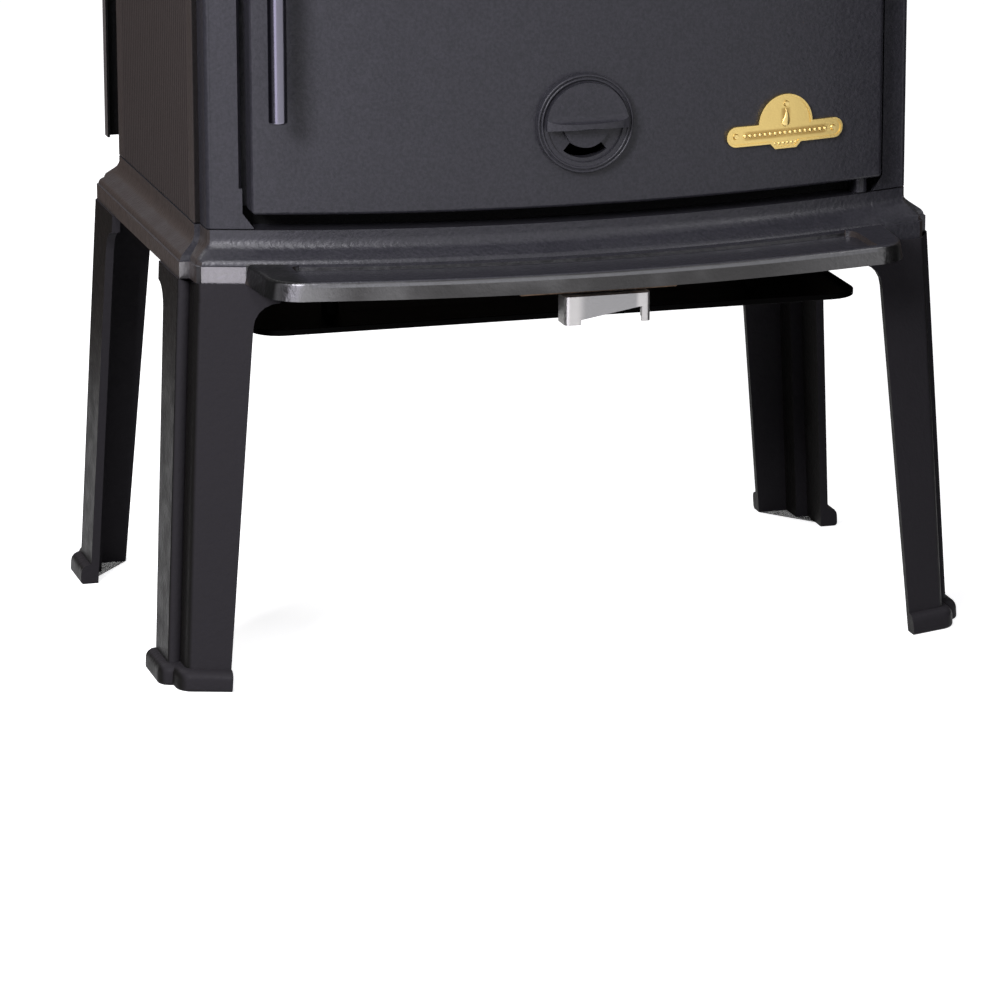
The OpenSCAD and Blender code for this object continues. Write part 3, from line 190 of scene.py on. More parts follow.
# %% Cards
BLACK_CLOTH = (0.01, 0.01, 0.01, 1)
BROWN_CLOTH = (0.13, 0.097, 0.085, 1)
SOFTBOX_WHITE = (2.6, 2.5, 2.9, 1)
CARD_H = 1.6
FRONT_Y = -0.65
BACK_Y = 0.95
SIDE_X = 0.8
SOFTBOX_LEFT = (-1.5, -1.17)
SOFTBOX_RIGHT = (-0.84, -1.7)
HIDDEN_FROM = ("camera", "diffuse", "transmission", "volume_scatter", "shadow")
CARDS = {
    "flag_left": ((-SIDE_X, FRONT_Y), (-SIDE_X, BACK_Y), BLACK_CLOTH),
    "flag_right": ((SIDE_X, BACK_Y), (SIDE_X, FRONT_Y), BLACK_CLOTH),
    "flag_back": ((-SIDE_X, BACK_Y), (SIDE_X, BACK_Y), BROWN_CLOTH),
    "softbox": (SOFTBOX_LEFT, SOFTBOX_RIGHT, SOFTBOX_WHITE),
}


def card_material(name, tone):
    """A card of one even tone, which needs no light of its own."""
    material = bpy.data.materials.new(name)
    material.use_nodes = True
    tree = material.node_tree
    tree.nodes.remove(tree.nodes["Principled BSDF"])
    even = tree.nodes.new("ShaderNodeEmission")
    even.inputs["Color"].default_value = tone
    tree.links.new(even.outputs["Emission"], tree.nodes["Material Output"].inputs["Surface"])
    return material


print("cards to stand", list(CARDS))

# %% [markdown]
# Standing the cards up
#
# A card is a line on the floor plan that is extruded upwards. A plane could be turned into place
# instead, but two corners on the plan say where it stands without any angle.

# %% Stand the cards
def stand_card(name, start, end, tone):
    """A card that stands on the line from start to end and that only reflections see."""
    shape = bmesh.new()
    foot = [shape.verts.new((*corner, 0)) for corner in (start, end)]
    edge = shape.edges.new(foot)
    raised = bmesh.ops.extrude_edge_only(shape, edges=[edge])["geom"]
    top = [part for part in raised if isinstance(part, bmesh.types.BMVert)]
    bmesh.ops.translate(shape, vec=(0, 0, CARD_H), verts=top)
    mesh = bpy.data.meshes.new(name)
    shape.to_mesh(mesh)
    shape.free()
    mesh.materials.append(card_material(name, tone))
    card = bpy.data.objects.new(name, mesh)
    for ray in HIDDEN_FROM:
        setattr(card, "visible_" + ray, False)
    scene.collection.objects.link(card)


for name, (start, end, tone) in CARDS.items():
    stand_card(name, start, end, tone)
print("cards", CARD_H, "m high")

# %% [markdown]
# Lamps
#
# The handle's shadow in the photo falls to the right and a little down, so the key lamp stands
# at the left front and not far above the stove. A weaker lamp above it draws the long bright line
# along the moulding. The rest only fill: one from the front, one from the right, a warm one for
# the left flank, and two that keep the right flank and the back readable. A sun would be simpler,
# but its shadows are hard, while a wide square lamp gives the soft edge of a studio.

# %% Lamps
LAMP_TARGET = Vector((0, 0, 0.55))
PLAIN = (1, 1, 1)
COOL = (0.96, 0.95, 1.0)
WARM = (1.0, 0.88, 0.8)


def lamp(name, azimuth, height_angle, distance, size, power, tint):
    """A square soft lamp. Azimuth 0 is straight in front, negative to the left; in degrees."""
    around = math.radians(azimuth)
    above = math.radians(height_angle)
    level = math.cos(above)
    toward = Vector((math.sin(around) * level, -math.cos(around) * level, math.sin(above)))
    data = bpy.data.lights.new(name, "AREA")
    data.shape = "SQUARE"
    data.size = size
    data.energy = power
    data.color = tint
    light = bpy.data.objects.new(name, data)
    light.location = LAMP_TARGET + toward * distance
    light.rotation_euler = (-toward).to_track_quat("-Z", "Y").to_euler()
    scene.collection.objects.link(light)


lamp("key", azimuth=-42, height_angle=22, distance=2.8, size=0.7, power=84, tint=COOL)
lamp("upper", azimuth=-35, height_angle=45, distance=1.9, size=0.7, power=16, tint=COOL)
lamp("low_front", azimuth=5, height_angle=8, distance=3.0, size=1.2, power=3, tint=COOL)
lamp("right_fill", azimuth=42, height_angle=18, distance=2.5, size=1.0, power=9, tint=COOL)
lamp("warm_side", azimuth=-85, height_angle=30, distance=3.0, size=1.2, power=4, tint=WARM)
lamp("right_side", azimuth=105, height_angle=30, distance=3.0, size=1.2, power=14, tint=COOL)
lamp("behind", azimuth=-150, height_angle=40, distance=3.0, size=1.2, power=34, tint=PLAIN)

# %% [markdown]
# Finishes
#
# A material here is a principled shader whose colour, roughness and relief come from noise in the
# object's own coordinates. Photos wrapped round the iron would look finer from near, but they
# need unfolding and they repeat. Noise needs neither, and it stays on the piece when the piece
# moves. Two small functions start every finish below, and three more give it its noise.

# %% Shader helpers
def new_material(name, color, roughness, metallic=0.0, specular=0.5):
    """A principled material with plain values; returns the material and its shader."""
    material = bpy.data.materials.new(name)
    material.use_nodes = True
    shader = material.node_tree.nodes["Principled BSDF"]
    shader.inputs["Base Color"].default_value = (*color, 1)
    shader.inputs["Roughness"].default_value = roughness
    shader.inputs["Metallic"].default_value = metallic
    shader.inputs["Specular IOR Level"].default_value = specular
    return material, shader


def feed(material, shader, socket, value):
    """Links a value into a socket of the shader."""
    material.node_tree.links.new(value, shader.inputs[socket])


print("shader helpers", [tool.__name__ for tool in (new_material, feed)])

# %% [markdown]
# Noise for grain and tone
#
# Noise has no pattern that repeats. Read as a height by the Bump node it makes grain, and read
# as a factor between two tones it makes a colour or a gloss that wanders.

# %% Noise helpers
def noise_of(material, scale, detail=3.0):
    """Noise in the piece's own coordinates, in features to the metre."""
    tree = material.node_tree
    place = tree.nodes.new("ShaderNodeTexCoord")
    noise = tree.nodes.new("ShaderNodeTexNoise")
    noise.inputs["Scale"].default_value = scale
    noise.inputs["Detail"].default_value = detail
    tree.links.new(place.outputs["Object"], noise.inputs["Vector"])
    return noise.outputs["Fac"]


def add_relief(material, shader, layers):
    """Stacks bumps, each a noise scale, a depth in metres and a strength."""
    tree = material.node_tree
    before = None
    for scale, depth, strength in layers:
        bump = tree.nodes.new("ShaderNodeBump")
        bump.inputs["Distance"].default_value = depth
        bump.inputs["Strength"].default_value = strength
        tree.links.new(noise_of(material, scale), bump.inputs["Height"])
        if before:
            tree.links.new(before.outputs["Normal"], bump.inputs["Normal"])
        before = bump
    feed(material, shader, "Normal", before.outputs["Normal"])


WANDER_FROM = 0.35
WANDER_TO = 0.65


def wander(material, scale, low, high):
    """A colour socket that wanders between two values, which are numbers or colours."""
    tree = material.node_tree
    ramp = tree.nodes.new("ShaderNodeValToRGB")
    for element, place, value in zip(ramp.color_ramp.elements, (WANDER_FROM, WANDER_TO), (low, high)):
        color = value if isinstance(value, tuple) else (value, value, value)
        element.position = place
        element.color = (*color, 1)
    tree.links.new(noise_of(material, scale), ramp.inputs["Fac"])
    return ramp.outputs["Color"]


print("noise helpers", [tool.__name__ for tool in (noise_of, add_relief, wander)])

# %% [markdown]
# Stove paint
#
# Stove paint is a thin matt coat, black with a touch of violet, so the sand grain of the casting
# shows through it. Two bumps do that: a fine one for the sand and a broad one for the slight waves
# of the wall. Real displacement would give the same look with millions of faces. The colour is
# speckled as finely as the grain, and the gloss wanders in wider patches.

# %% Stove paint
PAINT_DARK = (0.019, 0.019, 0.023)
PAINT_LIGHT = (0.027, 0.026, 0.032)
SPECKLE = 380
WAVES = (70, 0.0012, 0.06)
GRAIN = (280, 0.0006, 0.6)
SAND = [WAVES, GRAIN]
GLOSS_PATCHES = 60
GLOSS_SWING = 0.05


def speckled_black(material):
    """The paint's own colour."""
    return wander(material, SPECKLE, PAINT_DARK, PAINT_LIGHT)


def stove_paint(name, roughness, specular):
    """The coat on a casting, rougher or smoother as the iron under it; its colour comes after."""
    material, shader = new_material(name, PAINT_LIGHT, roughness, specular=specular)
    add_relief(material, shader, SAND)
    dull, glossy = roughness - GLOSS_SWING, roughness + GLOSS_SWING
    feed(material, shader, "Roughness", wander(material, GLOSS_PATCHES, dull, glossy))
    return material, shader


iron, iron_shader = stove_paint("stove_paint", roughness=0.34, specular=0.22)
feed(iron, iron_shader, "Base Color", speckled_black(iron))
print("made", iron.name)

# %% [markdown]
# Masks by place and slope
#
# Wear isn't everywhere: it sits on edges, on corners and where hands go. Painted light and shade
# sit on the faces that a lamp reaches or misses, and in hollows. A mask is a value from 0 to 1 on
# the surface. It could be painted by hand on an unfolded mesh. Built from where a point lies and
# which way it faces, it needs no unfolding and fits any change of the model.

# %% Place and slope
def split(material, kind, output):
    """X, Y and Z of a vector that a node of this kind gives."""
    tree = material.node_tree
    source = tree.nodes.new(kind)
    parts = tree.nodes.new("ShaderNodeSeparateXYZ")
    tree.links.new(source.outputs[output], parts.inputs[0])
    return parts.outputs["X"], parts.outputs["Y"], parts.outputs["Z"]


def place_on(material):
    """X, Y and Z of the point, in metres."""
    return split(material, "ShaderNodeTexCoord", "Object")


def slope_of(material):
    """X, Y and Z of the way that the surface faces."""
    return split(material, "ShaderNodeNewGeometry", "Normal")


print("place and slope", [tool.__name__ for tool in (split, place_on, slope_of)])

# %% [markdown]
# Ramps and their sums
#
# A ramp turns a height or a slope into a mask with a soft edge. Masks are multiplied where all of
# them must hold, and the highest is taken where any one will do.

# %% Ramps and their sums
def ramp_up(material, value, low, high):
    """0 below low, 1 above high and smooth between; low above high turns it round."""
    node = material.node_tree.nodes.new("ShaderNodeMapRange")
    node.interpolation_type = "SMOOTHSTEP"
    node.inputs["From Min"].default_value = low
    node.inputs["From Max"].default_value = high
    material.node_tree.links.new(value, node.inputs["Value"])
    return node.outputs["Result"]


def reckon(material, operation, a, b):
    """A Math node on two values, each a socket or a number."""
    node = material.node_tree.nodes.new("ShaderNodeMath")
    node.operation = operation
    for socket, value in zip(node.inputs, (a, b)):
        if isinstance(value, (int, float)):
            socket.default_value = value
        else:
            material.node_tree.links.new(value, socket)
    return node.outputs[0]


def away_from(material, value, middle):
    """How far a value is from the middle, on either side."""
    return reckon(material, "ABSOLUTE", reckon(material, "SUBTRACT", value, middle), 0)


def opposite(material, mask):
    """1 where the mask is 0."""
    return reckon(material, "SUBTRACT", 1, mask)


def all_of(material, *masks):
    """The masks multiplied: 1 where every one is 1."""
    result = masks[0]
    for mask in masks[1:]:
        result = reckon(material, "MULTIPLY", result, mask)
    return result


def any_of(material, *masks):
    """The highest of the masks: 1 where any one is 1."""
    result = masks[0]
    for mask in masks[1:]:
        result = reckon(material, "MAXIMUM", result, mask)
    return result


print("mask helpers", [tool.__name__ for tool in (ramp_up, reckon, opposite, all_of, any_of)])

# %% [markdown]
# One colour over another
#
# The Mix node lays one colour over another where a mask says so. It has sockets of the same names
# for numbers and for colours, so the colour ones are found by their place in the list.

# %% Blend two colours
MIX_UNDER = 6
MIX_OVER = 7
MIX_COLOR = 2


def blend_color(material, mask, under, over):
    """Over where mask is 1, under where it is 0; each is a socket or a colour."""
    node = material.node_tree.nodes.new("ShaderNodeMix")
    node.data_type = "RGBA"
    material.node_tree.links.new(mask, node.inputs["Factor"])
    for number, value in ((MIX_UNDER, under), (MIX_OVER, over)):
        if isinstance(value, tuple):
            node.inputs[number].default_value = (*value, 1)
        else:
            material.node_tree.links.new(value, node.inputs[number])
    return node.outputs[MIX_COLOR]


print("blend helper", blend_color.__name__)

# %% [markdown]
# Where the base is rubbed, with painted highlights
#
# The band at the base's corner, the wall behind the tray and the edge of the ash lip have lost
# their paint to hands, logs and the ash pan; the bare iron there is also lighter as painted
# highlight, where these faces catch the lamps. Each worn place gets its own mask: the flat patch
# and the corner beside it, the wall behind the tray, and the lip's rounded front. They are told
# apart by height, by distance from the middle and by slope. The pairs of numbers are where a mask
# begins and where it is full.

# %% Worn places and painted highlights
BAND_H = 14 * MM
LIP_H = 15.5 * MM
LIP_HALF_W = 269 * MM
TRAY_HALF_W = 237 * MM
TRAY_END = 3 * MM
TRAY_FLOOR_Z = 10.5 * MM
LIP_BACK = 60 * MM
LIP_FRONT = 45 * MM
SOFT = 0.8 * MM
NOT_UP = (0.5, 0.35)
NOT_DOWN = (-0.3, -0.2)
TO_FRONT = (-0.8, -0.9)
LIP_TO_FRONT = (-0.45, -0.75)
PAST_FRONT = (-0.5, -0.6)
BEFORE_SIDE = (-0.9, -0.8)

base_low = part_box("base")[0]
band_top = base_low.z + BAND_H
lip_top = base_low.z + LIP_H
tray_floor = base_low.z + TRAY_FLOOR_Z
base_iron, base_shader = stove_paint("base_paint", roughness=0.33, specular=0.3)
x, y, z = place_on(base_iron)
slope_x, slope_y, slope_z = slope_of(base_iron)
not_up = ramp_up(base_iron, slope_z, *NOT_UP)
not_down = ramp_up(base_iron, slope_z, *NOT_DOWN)
upright = all_of(base_iron, not_up, not_down)
facing_front = all_of(base_iron, upright, ramp_up(base_iron, slope_y, *TO_FRONT))
on_band = ramp_up(base_iron, z, band_top, band_top - SOFT)
left_of_lip = ramp_up(base_iron, x, -LIP_HALF_W, -LIP_HALF_W - SOFT)
# The patch, the corner and the tray wall are bare iron from wear, lightened as painted highlight.
patch = all_of(base_iron, facing_front, on_band, left_of_lip)
past_front = ramp_up(base_iron, slope_x, *PAST_FRONT)
before_side = ramp_up(base_iron, slope_x, *BEFORE_SIDE)
corner = all_of(base_iron, upright, on_band, left_of_lip, past_front, before_side)
above_tray = ramp_up(base_iron, z, tray_floor, tray_floor + SOFT)
beside_tray = ramp_up(base_iron, away_from(base_iron, x, 0), TRAY_HALF_W, TRAY_HALF_W - TRAY_END)
tray_wall = all_of(base_iron, facing_front, on_band, above_tray, beside_tray)
out_front = ramp_up(base_iron, y, base_low.y + LIP_BACK, base_low.y + LIP_FRONT)
on_lip = ramp_up(base_iron, z, lip_top, lip_top - SOFT)
lip_edge = all_of(base_iron, upright, ramp_up(base_iron, slope_y, *LIP_TO_FRONT), out_front, on_lip)
shiny = any_of(base_iron, patch, corner)
bare_and_highlight = any_of(base_iron, shiny, tray_wall, lip_edge)
print("base stands at", round(base_low.z / MM, 1), "mm, its lip ends at", round(lip_top / MM, 1), "mm")

# %% [markdown]
# How the worn places and the painted light and shade look
#
# Bare iron is a metal, so the same mask that brings its colour also drives the shader's metallic
# value, and one material can be paint here and metal there. Two materials on one casting would
# meet in a hard line. The lip is brightest near its ends, a painted highlight where its rounded
# front catches the lamps, stronger at the left, and has faint smears of wear between. Where no
# iron shows, the flanks get a browner tone than the front as painted warm light, and the lip's
# left end is nearly black as painted shade.

# %% Base paint
LEFT_HIGHLIGHT = (-0.19, -0.25)
RIGHT_HIGHLIGHT = (0.12, 0.23)
RIGHT_HIGHLIGHT_SHARE = 0.45
SMEAR_SCALE = 14
SMEAR_DETAIL = 2
SMEAR_RANGE = (0.5, 0.72)
SMEAR_SHARE = 0.35
LIP_END_X = 232 * MM
LIP_END_FADE = 14 * MM
FLANK_SLOPE = (0.4, 0.75)
DULL_EDGE = (0.042, 0.041, 0.041)
BRIGHT_EDGE = (0.135, 0.134, 0.136)
TRAY_EDGE = (0.11, 0.11, 0.115)
BARE_IRON_AND_HIGHLIGHT = (0.165, 0.16, 0.165)
FLANK_PAINTED_LIGHT = (0.034, 0.028, 0.026)
LIP_END_PAINTED_SHADE = (0.006, 0.006, 0.006)

# The lip's ends are lighter as painted highlight, stronger on the left; the smears between are wear.
left_highlight = ramp_up(base_iron, x, *LEFT_HIGHLIGHT)
right_highlight = reckon(base_iron, "MULTIPLY", ramp_up(base_iron, x, *RIGHT_HIGHLIGHT), RIGHT_HIGHLIGHT_SHARE)
smear_noise = noise_of(base_iron, SMEAR_SCALE, SMEAR_DETAIL)
smears = reckon(base_iron, "MULTIPLY", ramp_up(base_iron, smear_noise, *SMEAR_RANGE), SMEAR_SHARE)
edge_highlight_and_smears = any_of(base_iron, left_highlight, right_highlight, smears)
edge_color = blend_color(base_iron, edge_highlight_and_smears, DULL_EDGE, BRIGHT_EDGE)
worn_and_highlight_color = blend_color(base_iron, tray_wall, edge_color, TRAY_EDGE)
bare_and_highlight_color = blend_color(base_iron, shiny, worn_and_highlight_color, BARE_IRON_AND_HIGHLIGHT)
# The lip's left end gets near black as painted shade.
below_lip_top = ramp_up(base_iron, z, lip_top + SOFT, lip_top)
past_tray = ramp_up(base_iron, x, -LIP_END_X, -LIP_END_X - LIP_END_FADE)
before_patch = ramp_up(base_iron, x, -LIP_HALF_W - SOFT, -LIP_HALF_W)
lip_end_shade = all_of(base_iron, below_lip_top, past_tray, before_patch)
# The flanks get a browner, lighter tone as painted warm light.
painted_flank_shading = ramp_up(base_iron, away_from(base_iron, slope_x, 0), *FLANK_SLOPE)
with_flank_light = blend_color(base_iron, painted_flank_shading, speckled_black(base_iron), FLANK_PAINTED_LIGHT)
paint_color = blend_color(base_iron, lip_end_shade, with_flank_light, LIP_END_PAINTED_SHADE)
feed(base_iron, base_shader, "Base Color", blend_color(base_iron, bare_and_highlight, paint_color, bare_and_highlight_color))
feed(base_iron, base_shader, "Metallic", bare_and_highlight)
print("made", base_iron.name)

# %% [markdown]
# Legs
#
# The legs are painted like the body but left rougher, and their flanks get a much darker colour
# than their fronts as painted shade. The slope alone tells the two apart, so all four legs
# share one material.

# %% Leg paint
LEG_FRONT = (0.022, 0.0205, 0.023)
LEG_FLANK_SHADE = (0.008, 0.0075, 0.0072)
LEG_FLANK_SLOPE = (0.5, 0.85)
leg_iron, leg_shader = stove_paint("leg_paint", roughness=0.45, specular=0.03)
slope_x, slope_y, slope_z = slope_of(leg_iron)
# The legs' flanks get a much darker colour as painted shade.
painted_flank_shading = ramp_up(leg_iron, away_from(leg_iron, slope_x, 0), *LEG_FLANK_SLOPE)
feed(leg_iron, leg_shader, "Base Color", blend_color(leg_iron, painted_flank_shading, LEG_FRONT, LEG_FLANK_SHADE))
print("made", leg_iron.name)

# %% [markdown]
# Ribbed sides
#
# Between the ribs of a side panel the colour is near black, a painted shade, so the grooves read
# as dark lines, and the ribs get a brown tone as painted warm light. The ribs themselves are real,
# in the solid. Their depth is known, so the distance from the middle of the stove says how deep
# in a groove a point lies. Ambient occlusion could find the grooves too, but it is slow and is
# lost when the model is exported.

# %% Side paint
RIB_TOP = 0.3 * MM
RIB_FLOOR = 1.3 * MM
RIB_PAINTED_WARM_LIGHT = (0.04, 0.033, 0.031)
GROOVE_PAINTED_SHADE = (0.007, 0.006, 0.006)
panel_x = -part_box("side_panel_left")[0].x
side_iron, side_shader = stove_paint("side_paint", roughness=0.5, specular=0.08)
x, y, z = place_on(side_iron)
outward = away_from(side_iron, x, 0)
# The grooves get near black as painted shade; the ribs get a brown tone as painted warm light.
groove_shade = ramp_up(side_iron, outward, panel_x - RIB_TOP, panel_x - RIB_FLOOR)
feed(side_iron, side_shader, "Base Color", blend_color(side_iron, groove_shade, RIB_PAINTED_WARM_LIGHT, GROOVE_PAINTED_SHADE))
print("made", side_iron.name, "for a panel at", round(panel_x / MM, 1), "mm")

# %% [markdown]
# Rear shield
#
# A steel sheet stands off the back so that the wall behind stays cool. It is painted outside,
# and the face toward the stove, in the shade of the gap, gets near black as painted shade; the
# slope finds that face.

# %% Shield paint
SHIELD_GREY = (0.08, 0.073, 0.073)
SHIELD_PAINTED_SHADE = (0.001, 0.001, 0.001)
INSIDE_SLOPE = (-0.4, -0.8)
shield_iron, shield_shader = stove_paint("shield_paint", roughness=0.5, specular=0.08)
slope_x, slope_y, slope_z = slope_of(shield_iron)
# The face toward the stove gets near black as painted shade.
shade_toward_stove = ramp_up(shield_iron, slope_y, *INSIDE_SLOPE)
shield_color = blend_color(shield_iron, shade_toward_stove, SHIELD_GREY, SHIELD_PAINTED_SHADE)
feed(shield_iron, shield_shader, "Base Color", shield_color)
print("made", shield_iron.name)

# %% [markdown]
# Painted shade behind the door
#
# The frame is painted where it shows, and its seat behind the door gets near black as painted
# shade. A flat cut would leave the bowed seat half unshaded, so depth is counted from the bow: on
# a circle, the front falls back by x * x / 2R. The narrow slot left of the door is left out of
# the painted shade.

# %% Frame paint
BOW_R = 881 * MM
SLOT_X = -245 * MM
MOUTH_EDGE = 3 * MM
SHADE_DEPTH = (4 * MM, 8 * MM)
FRAME_GLOSS = (0.3, 0.38)
SEAT_PAINTED_SHADE = (0.002, 0.002, 0.002)
frame_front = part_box("front_frame")[0].y
door_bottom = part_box("door")[0].z
frame_iron, frame_shader = new_material("frame_paint", PAINT_LIGHT, roughness=0.34, specular=0.22)
add_relief(frame_iron, frame_shader, SAND)
x, y, z = place_on(frame_iron)
bow_back = reckon(frame_iron, "DIVIDE", reckon(frame_iron, "MULTIPLY", x, x), 2 * BOW_R)
behind_front = reckon(frame_iron, "SUBTRACT", y, frame_front)
depth = reckon(frame_iron, "SUBTRACT", behind_front, bow_back)
in_mouth = ramp_up(frame_iron, away_from(frame_iron, x, 0), LIP_HALF_W + MOUTH_EDGE, LIP_HALF_W)
left_slot = ramp_up(frame_iron, x, SLOT_X, SLOT_X - SOFT)
below_door = ramp_up(frame_iron, z, door_bottom + SOFT, door_bottom)
unshaded_slot = all_of(frame_iron, left_slot, opposite(frame_iron, below_door))
# The seat behind the door gets near black as painted shade, except the slot at the left.
deep = ramp_up(frame_iron, depth, *SHADE_DEPTH)
painted_seat_shade = all_of(frame_iron, in_mouth, deep, opposite(frame_iron, unshaded_slot))
frame_color = blend_color(frame_iron, painted_seat_shade, speckled_black(frame_iron), SEAT_PAINTED_SHADE)
frame_gloss = wander(frame_iron, GLOSS_PATCHES, *FRAME_GLOSS)
feed(frame_iron, frame_shader, "Base Color", frame_color)
feed(frame_iron, frame_shader, "Roughness", any_of(frame_iron, frame_gloss, painted_seat_shade))
print("made", frame_iron.name)

# %% [markdown]
# Burnt iron, sheet and screws
#
# Inside the fire the castings have no paint left: they are brown-grey and rough. The bottom shield
# and the ash pan are black sheet with slight waves from rolling; their near black, also on the
# shield's spacers and screws, is partly painted shade under the base. Screws, pins and clips are
# plain steel, and the guide of the air slide has turned brown with heat. None of them is seen
# from near, so one noise on the value that matters most is enough for each.

# %% Burnt iron, sheet and steel
ASH_DARK = (0.012, 0.012, 0.012)
ASH_LIGHT = (0.035, 0.028, 0.024)
SHEET_BLACK_AND_SHADE = (0.0012, 0.0011, 0.0011)
STEEL_GREY = (0.33, 0.32, 0.31)
HEAT_DARK = (0.06, 0.035, 0.02)
HEAT_LIGHT = (0.16, 0.1, 0.06)
ROLLING = [(30, 0.002, 0.15)]

burnt, burnt_shader = new_material("burnt_iron", ASH_LIGHT, roughness=0.8, specular=0.2)
add_relief(burnt, burnt_shader, SAND)
ash_tones = wander(burnt, scale=25, low=ASH_DARK, high=ASH_LIGHT)
feed(burnt, burnt_shader, "Base Color", ash_tones)
# The sheet's near black is partly its own colour and partly painted shade under the base.
sheet, sheet_shader = new_material("black_sheet", SHEET_BLACK_AND_SHADE, roughness=0.5, specular=0.015)
add_relief(sheet, sheet_shader, ROLLING)
steel, steel_shader = new_material("plain_steel", STEEL_GREY, roughness=0.38, metallic=1.0)
steel_gloss = wander(steel, scale=220, low=0.32, high=0.46)
feed(steel, steel_shader, "Roughness", steel_gloss)
browned, browned_shader = new_material("browned_steel", HEAT_LIGHT, roughness=0.55, metallic=0.5)
heat_tones = wander(browned, scale=150, low=HEAT_DARK, high=HEAT_LIGHT)
feed(browned, browned_shader, "Base Color", heat_tones)
print("made", [made.name for made in (burnt, sheet, steel, browned)])

# %% [markdown]
# The handle
#
# The rod is steel. The side that faces the front gets a bright colour as painted highlight, and
# its flanks a dark one as painted shade. The direction is counted in the rod's own slope, not the
# world's, so the painted highlight turns with the handle.

# %% Handle steel
HANDLE_FRONT = (-0.12, -0.99)
HIGHLIGHT_RANGE = (0.62, 0.85)
HANDLE_FLANK_SHADE = (0.02, 0.019, 0.028)
HANDLE_HIGHLIGHT = (0.15, 0.145, 0.18)
handle_steel, handle_shader = new_material("handle_steel", HANDLE_HIGHLIGHT, roughness=0.2, metallic=0.85)
slope_x, slope_y, slope_z = split(handle_steel, "ShaderNodeTexCoord", "Normal")
across = reckon(handle_steel, "MULTIPLY", slope_x, HANDLE_FRONT[0])
forward = reckon(handle_steel, "MULTIPLY", slope_y, HANDLE_FRONT[1])
# The rod's front gets a lighter colour as painted highlight and its flanks a dark one as painted
# shade.
front_highlight = ramp_up(handle_steel, reckon(handle_steel, "ADD", across, forward), *HIGHLIGHT_RANGE)
handle_color = blend_color(handle_steel, front_highlight, HANDLE_FLANK_SHADE, HANDLE_HIGHLIGHT)
feed(handle_steel, handle_shader, "Base Color", handle_color)
handle_gloss = wander(handle_steel, scale=120, low=0.18, high=0.22)
feed(handle_steel, handle_shader, "Roughness", handle_gloss)
print("made", handle_steel.name)

# %% [markdown]
# The lever
#
# The nickel lever is bright at its two ends as painted highlight and darker between them as
# painted shade. Two ramps along its length, multiplied, mark the shaded middle.

# %% Lever nickel
LEVER_END = 9 * MM
LEFT_FADE = 2
RIGHT_FADE = 1.5
NICKEL_HIGHLIGHT = (0.40, 0.39, 0.385)
NICKEL_SHADE = (0.22, 0.218, 0.22)
FINE_GRIND = [(420, 0.0004, 0.3)]
lever_low, lever_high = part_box("air_lever")
nickel, nickel_shader = new_material("satin_nickel", NICKEL_HIGHLIGHT, roughness=0.3, metallic=1.0)
add_relief(nickel, nickel_shader, FINE_GRIND)
x, y, z = place_on(nickel)
left_end = lever_low.x + LEVER_END
right_end = lever_high.x - LEVER_END
past_left = ramp_up(nickel, x, left_end, lever_low.x + LEFT_FADE * LEVER_END)
before_right = ramp_up(nickel, x, right_end, lever_high.x - RIGHT_FADE * LEVER_END)
# The lever's middle gets a darker colour as painted shade, and its ends a lighter one as painted
# highlight.
dull = all_of(nickel, past_left, before_right)
feed(nickel, nickel_shader, "Base Color", blend_color(nickel, dull, NICKEL_HIGHLIGHT, NICKEL_SHADE))
print("made", nickel.name, "over", round((lever_high.x - lever_low.x) / MM, 1), "mm")

# %% [markdown]
# The badge's brass
#
# A brass badge is wiped with a cloth now and then. The cloth reaches the rim and the tops of the
# raised work, and a brown patina stays around it: along the bar and in the arch. The mask is a
# soft-edged box on the bar and another in the arch, broken up by noise. The raised work gets a
# brighter brass of its own.

# %% Brass
BAR_Z = 12.7 * MM
PATINA_HALF_W = 39 * MM
PATINA_HALF_H = 4.5 * MM
PATINA_SIDE_FADE = 4 * MM
PATINA_TOP_FADE = 2 * MM
ARCH_PATINA_R = 5.5 * MM
ARCH_PATINA_Z = 14 * MM
ARCH_SIDE = (ARCH_PATINA_R, ARCH_PATINA_R / 3)
ARCH_TOP = (1.3 * ARCH_PATINA_R, ARCH_PATINA_R)
CLOUD_SCALE = 60
CLOUD_DETAIL = 2
CLOUD_RANGE = (0.1, 0.55)
BRASS_YELLOW = (0.62, 0.46, 0.17)
BRASS_BROWN = (0.38, 0.25, 0.08)
BRASS_BRIGHT = (0.66, 0.5, 0.2)
BRASS_GRAIN = [(600, 0.0003, 0.3)]
badge_low, badge_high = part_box("badge")
badge_x = (badge_low.x + badge_high.x) / 2
bar_z = badge_low.z + BAR_Z
brass, brass_shader = new_material("satin_brass", BRASS_YELLOW, roughness=0.34, metallic=1.0)
add_relief(brass, brass_shader, BRASS_GRAIN)
x, y, z = place_on(brass)
aside = away_from(brass, x, badge_x)
off_bar = away_from(brass, z, bar_z)
off_arch = away_from(brass, z, bar_z + ARCH_PATINA_Z)
along_bar = ramp_up(brass, aside, PATINA_HALF_W, PATINA_HALF_W - PATINA_SIDE_FADE)
across_bar = ramp_up(brass, off_bar, PATINA_HALF_H, PATINA_HALF_H - PATINA_TOP_FADE)
on_bar = all_of(brass, along_bar, across_bar)
in_arch = all_of(brass, ramp_up(brass, aside, *ARCH_SIDE), ramp_up(brass, off_arch, *ARCH_TOP))
cloudy = ramp_up(brass, noise_of(brass, CLOUD_SCALE, CLOUD_DETAIL), *CLOUD_RANGE)
patina = all_of(brass, any_of(brass, on_bar, in_arch), cloudy)
feed(brass, brass_shader, "Base Color", blend_color(brass, patina, BRASS_YELLOW, BRASS_BROWN))
raised_brass, raised_shader = new_material("raised_brass", BRASS_BRIGHT, roughness=0.3, metallic=1.0)
raised_gloss = wander(raised_brass, scale=300, low=0.26, high=0.36)
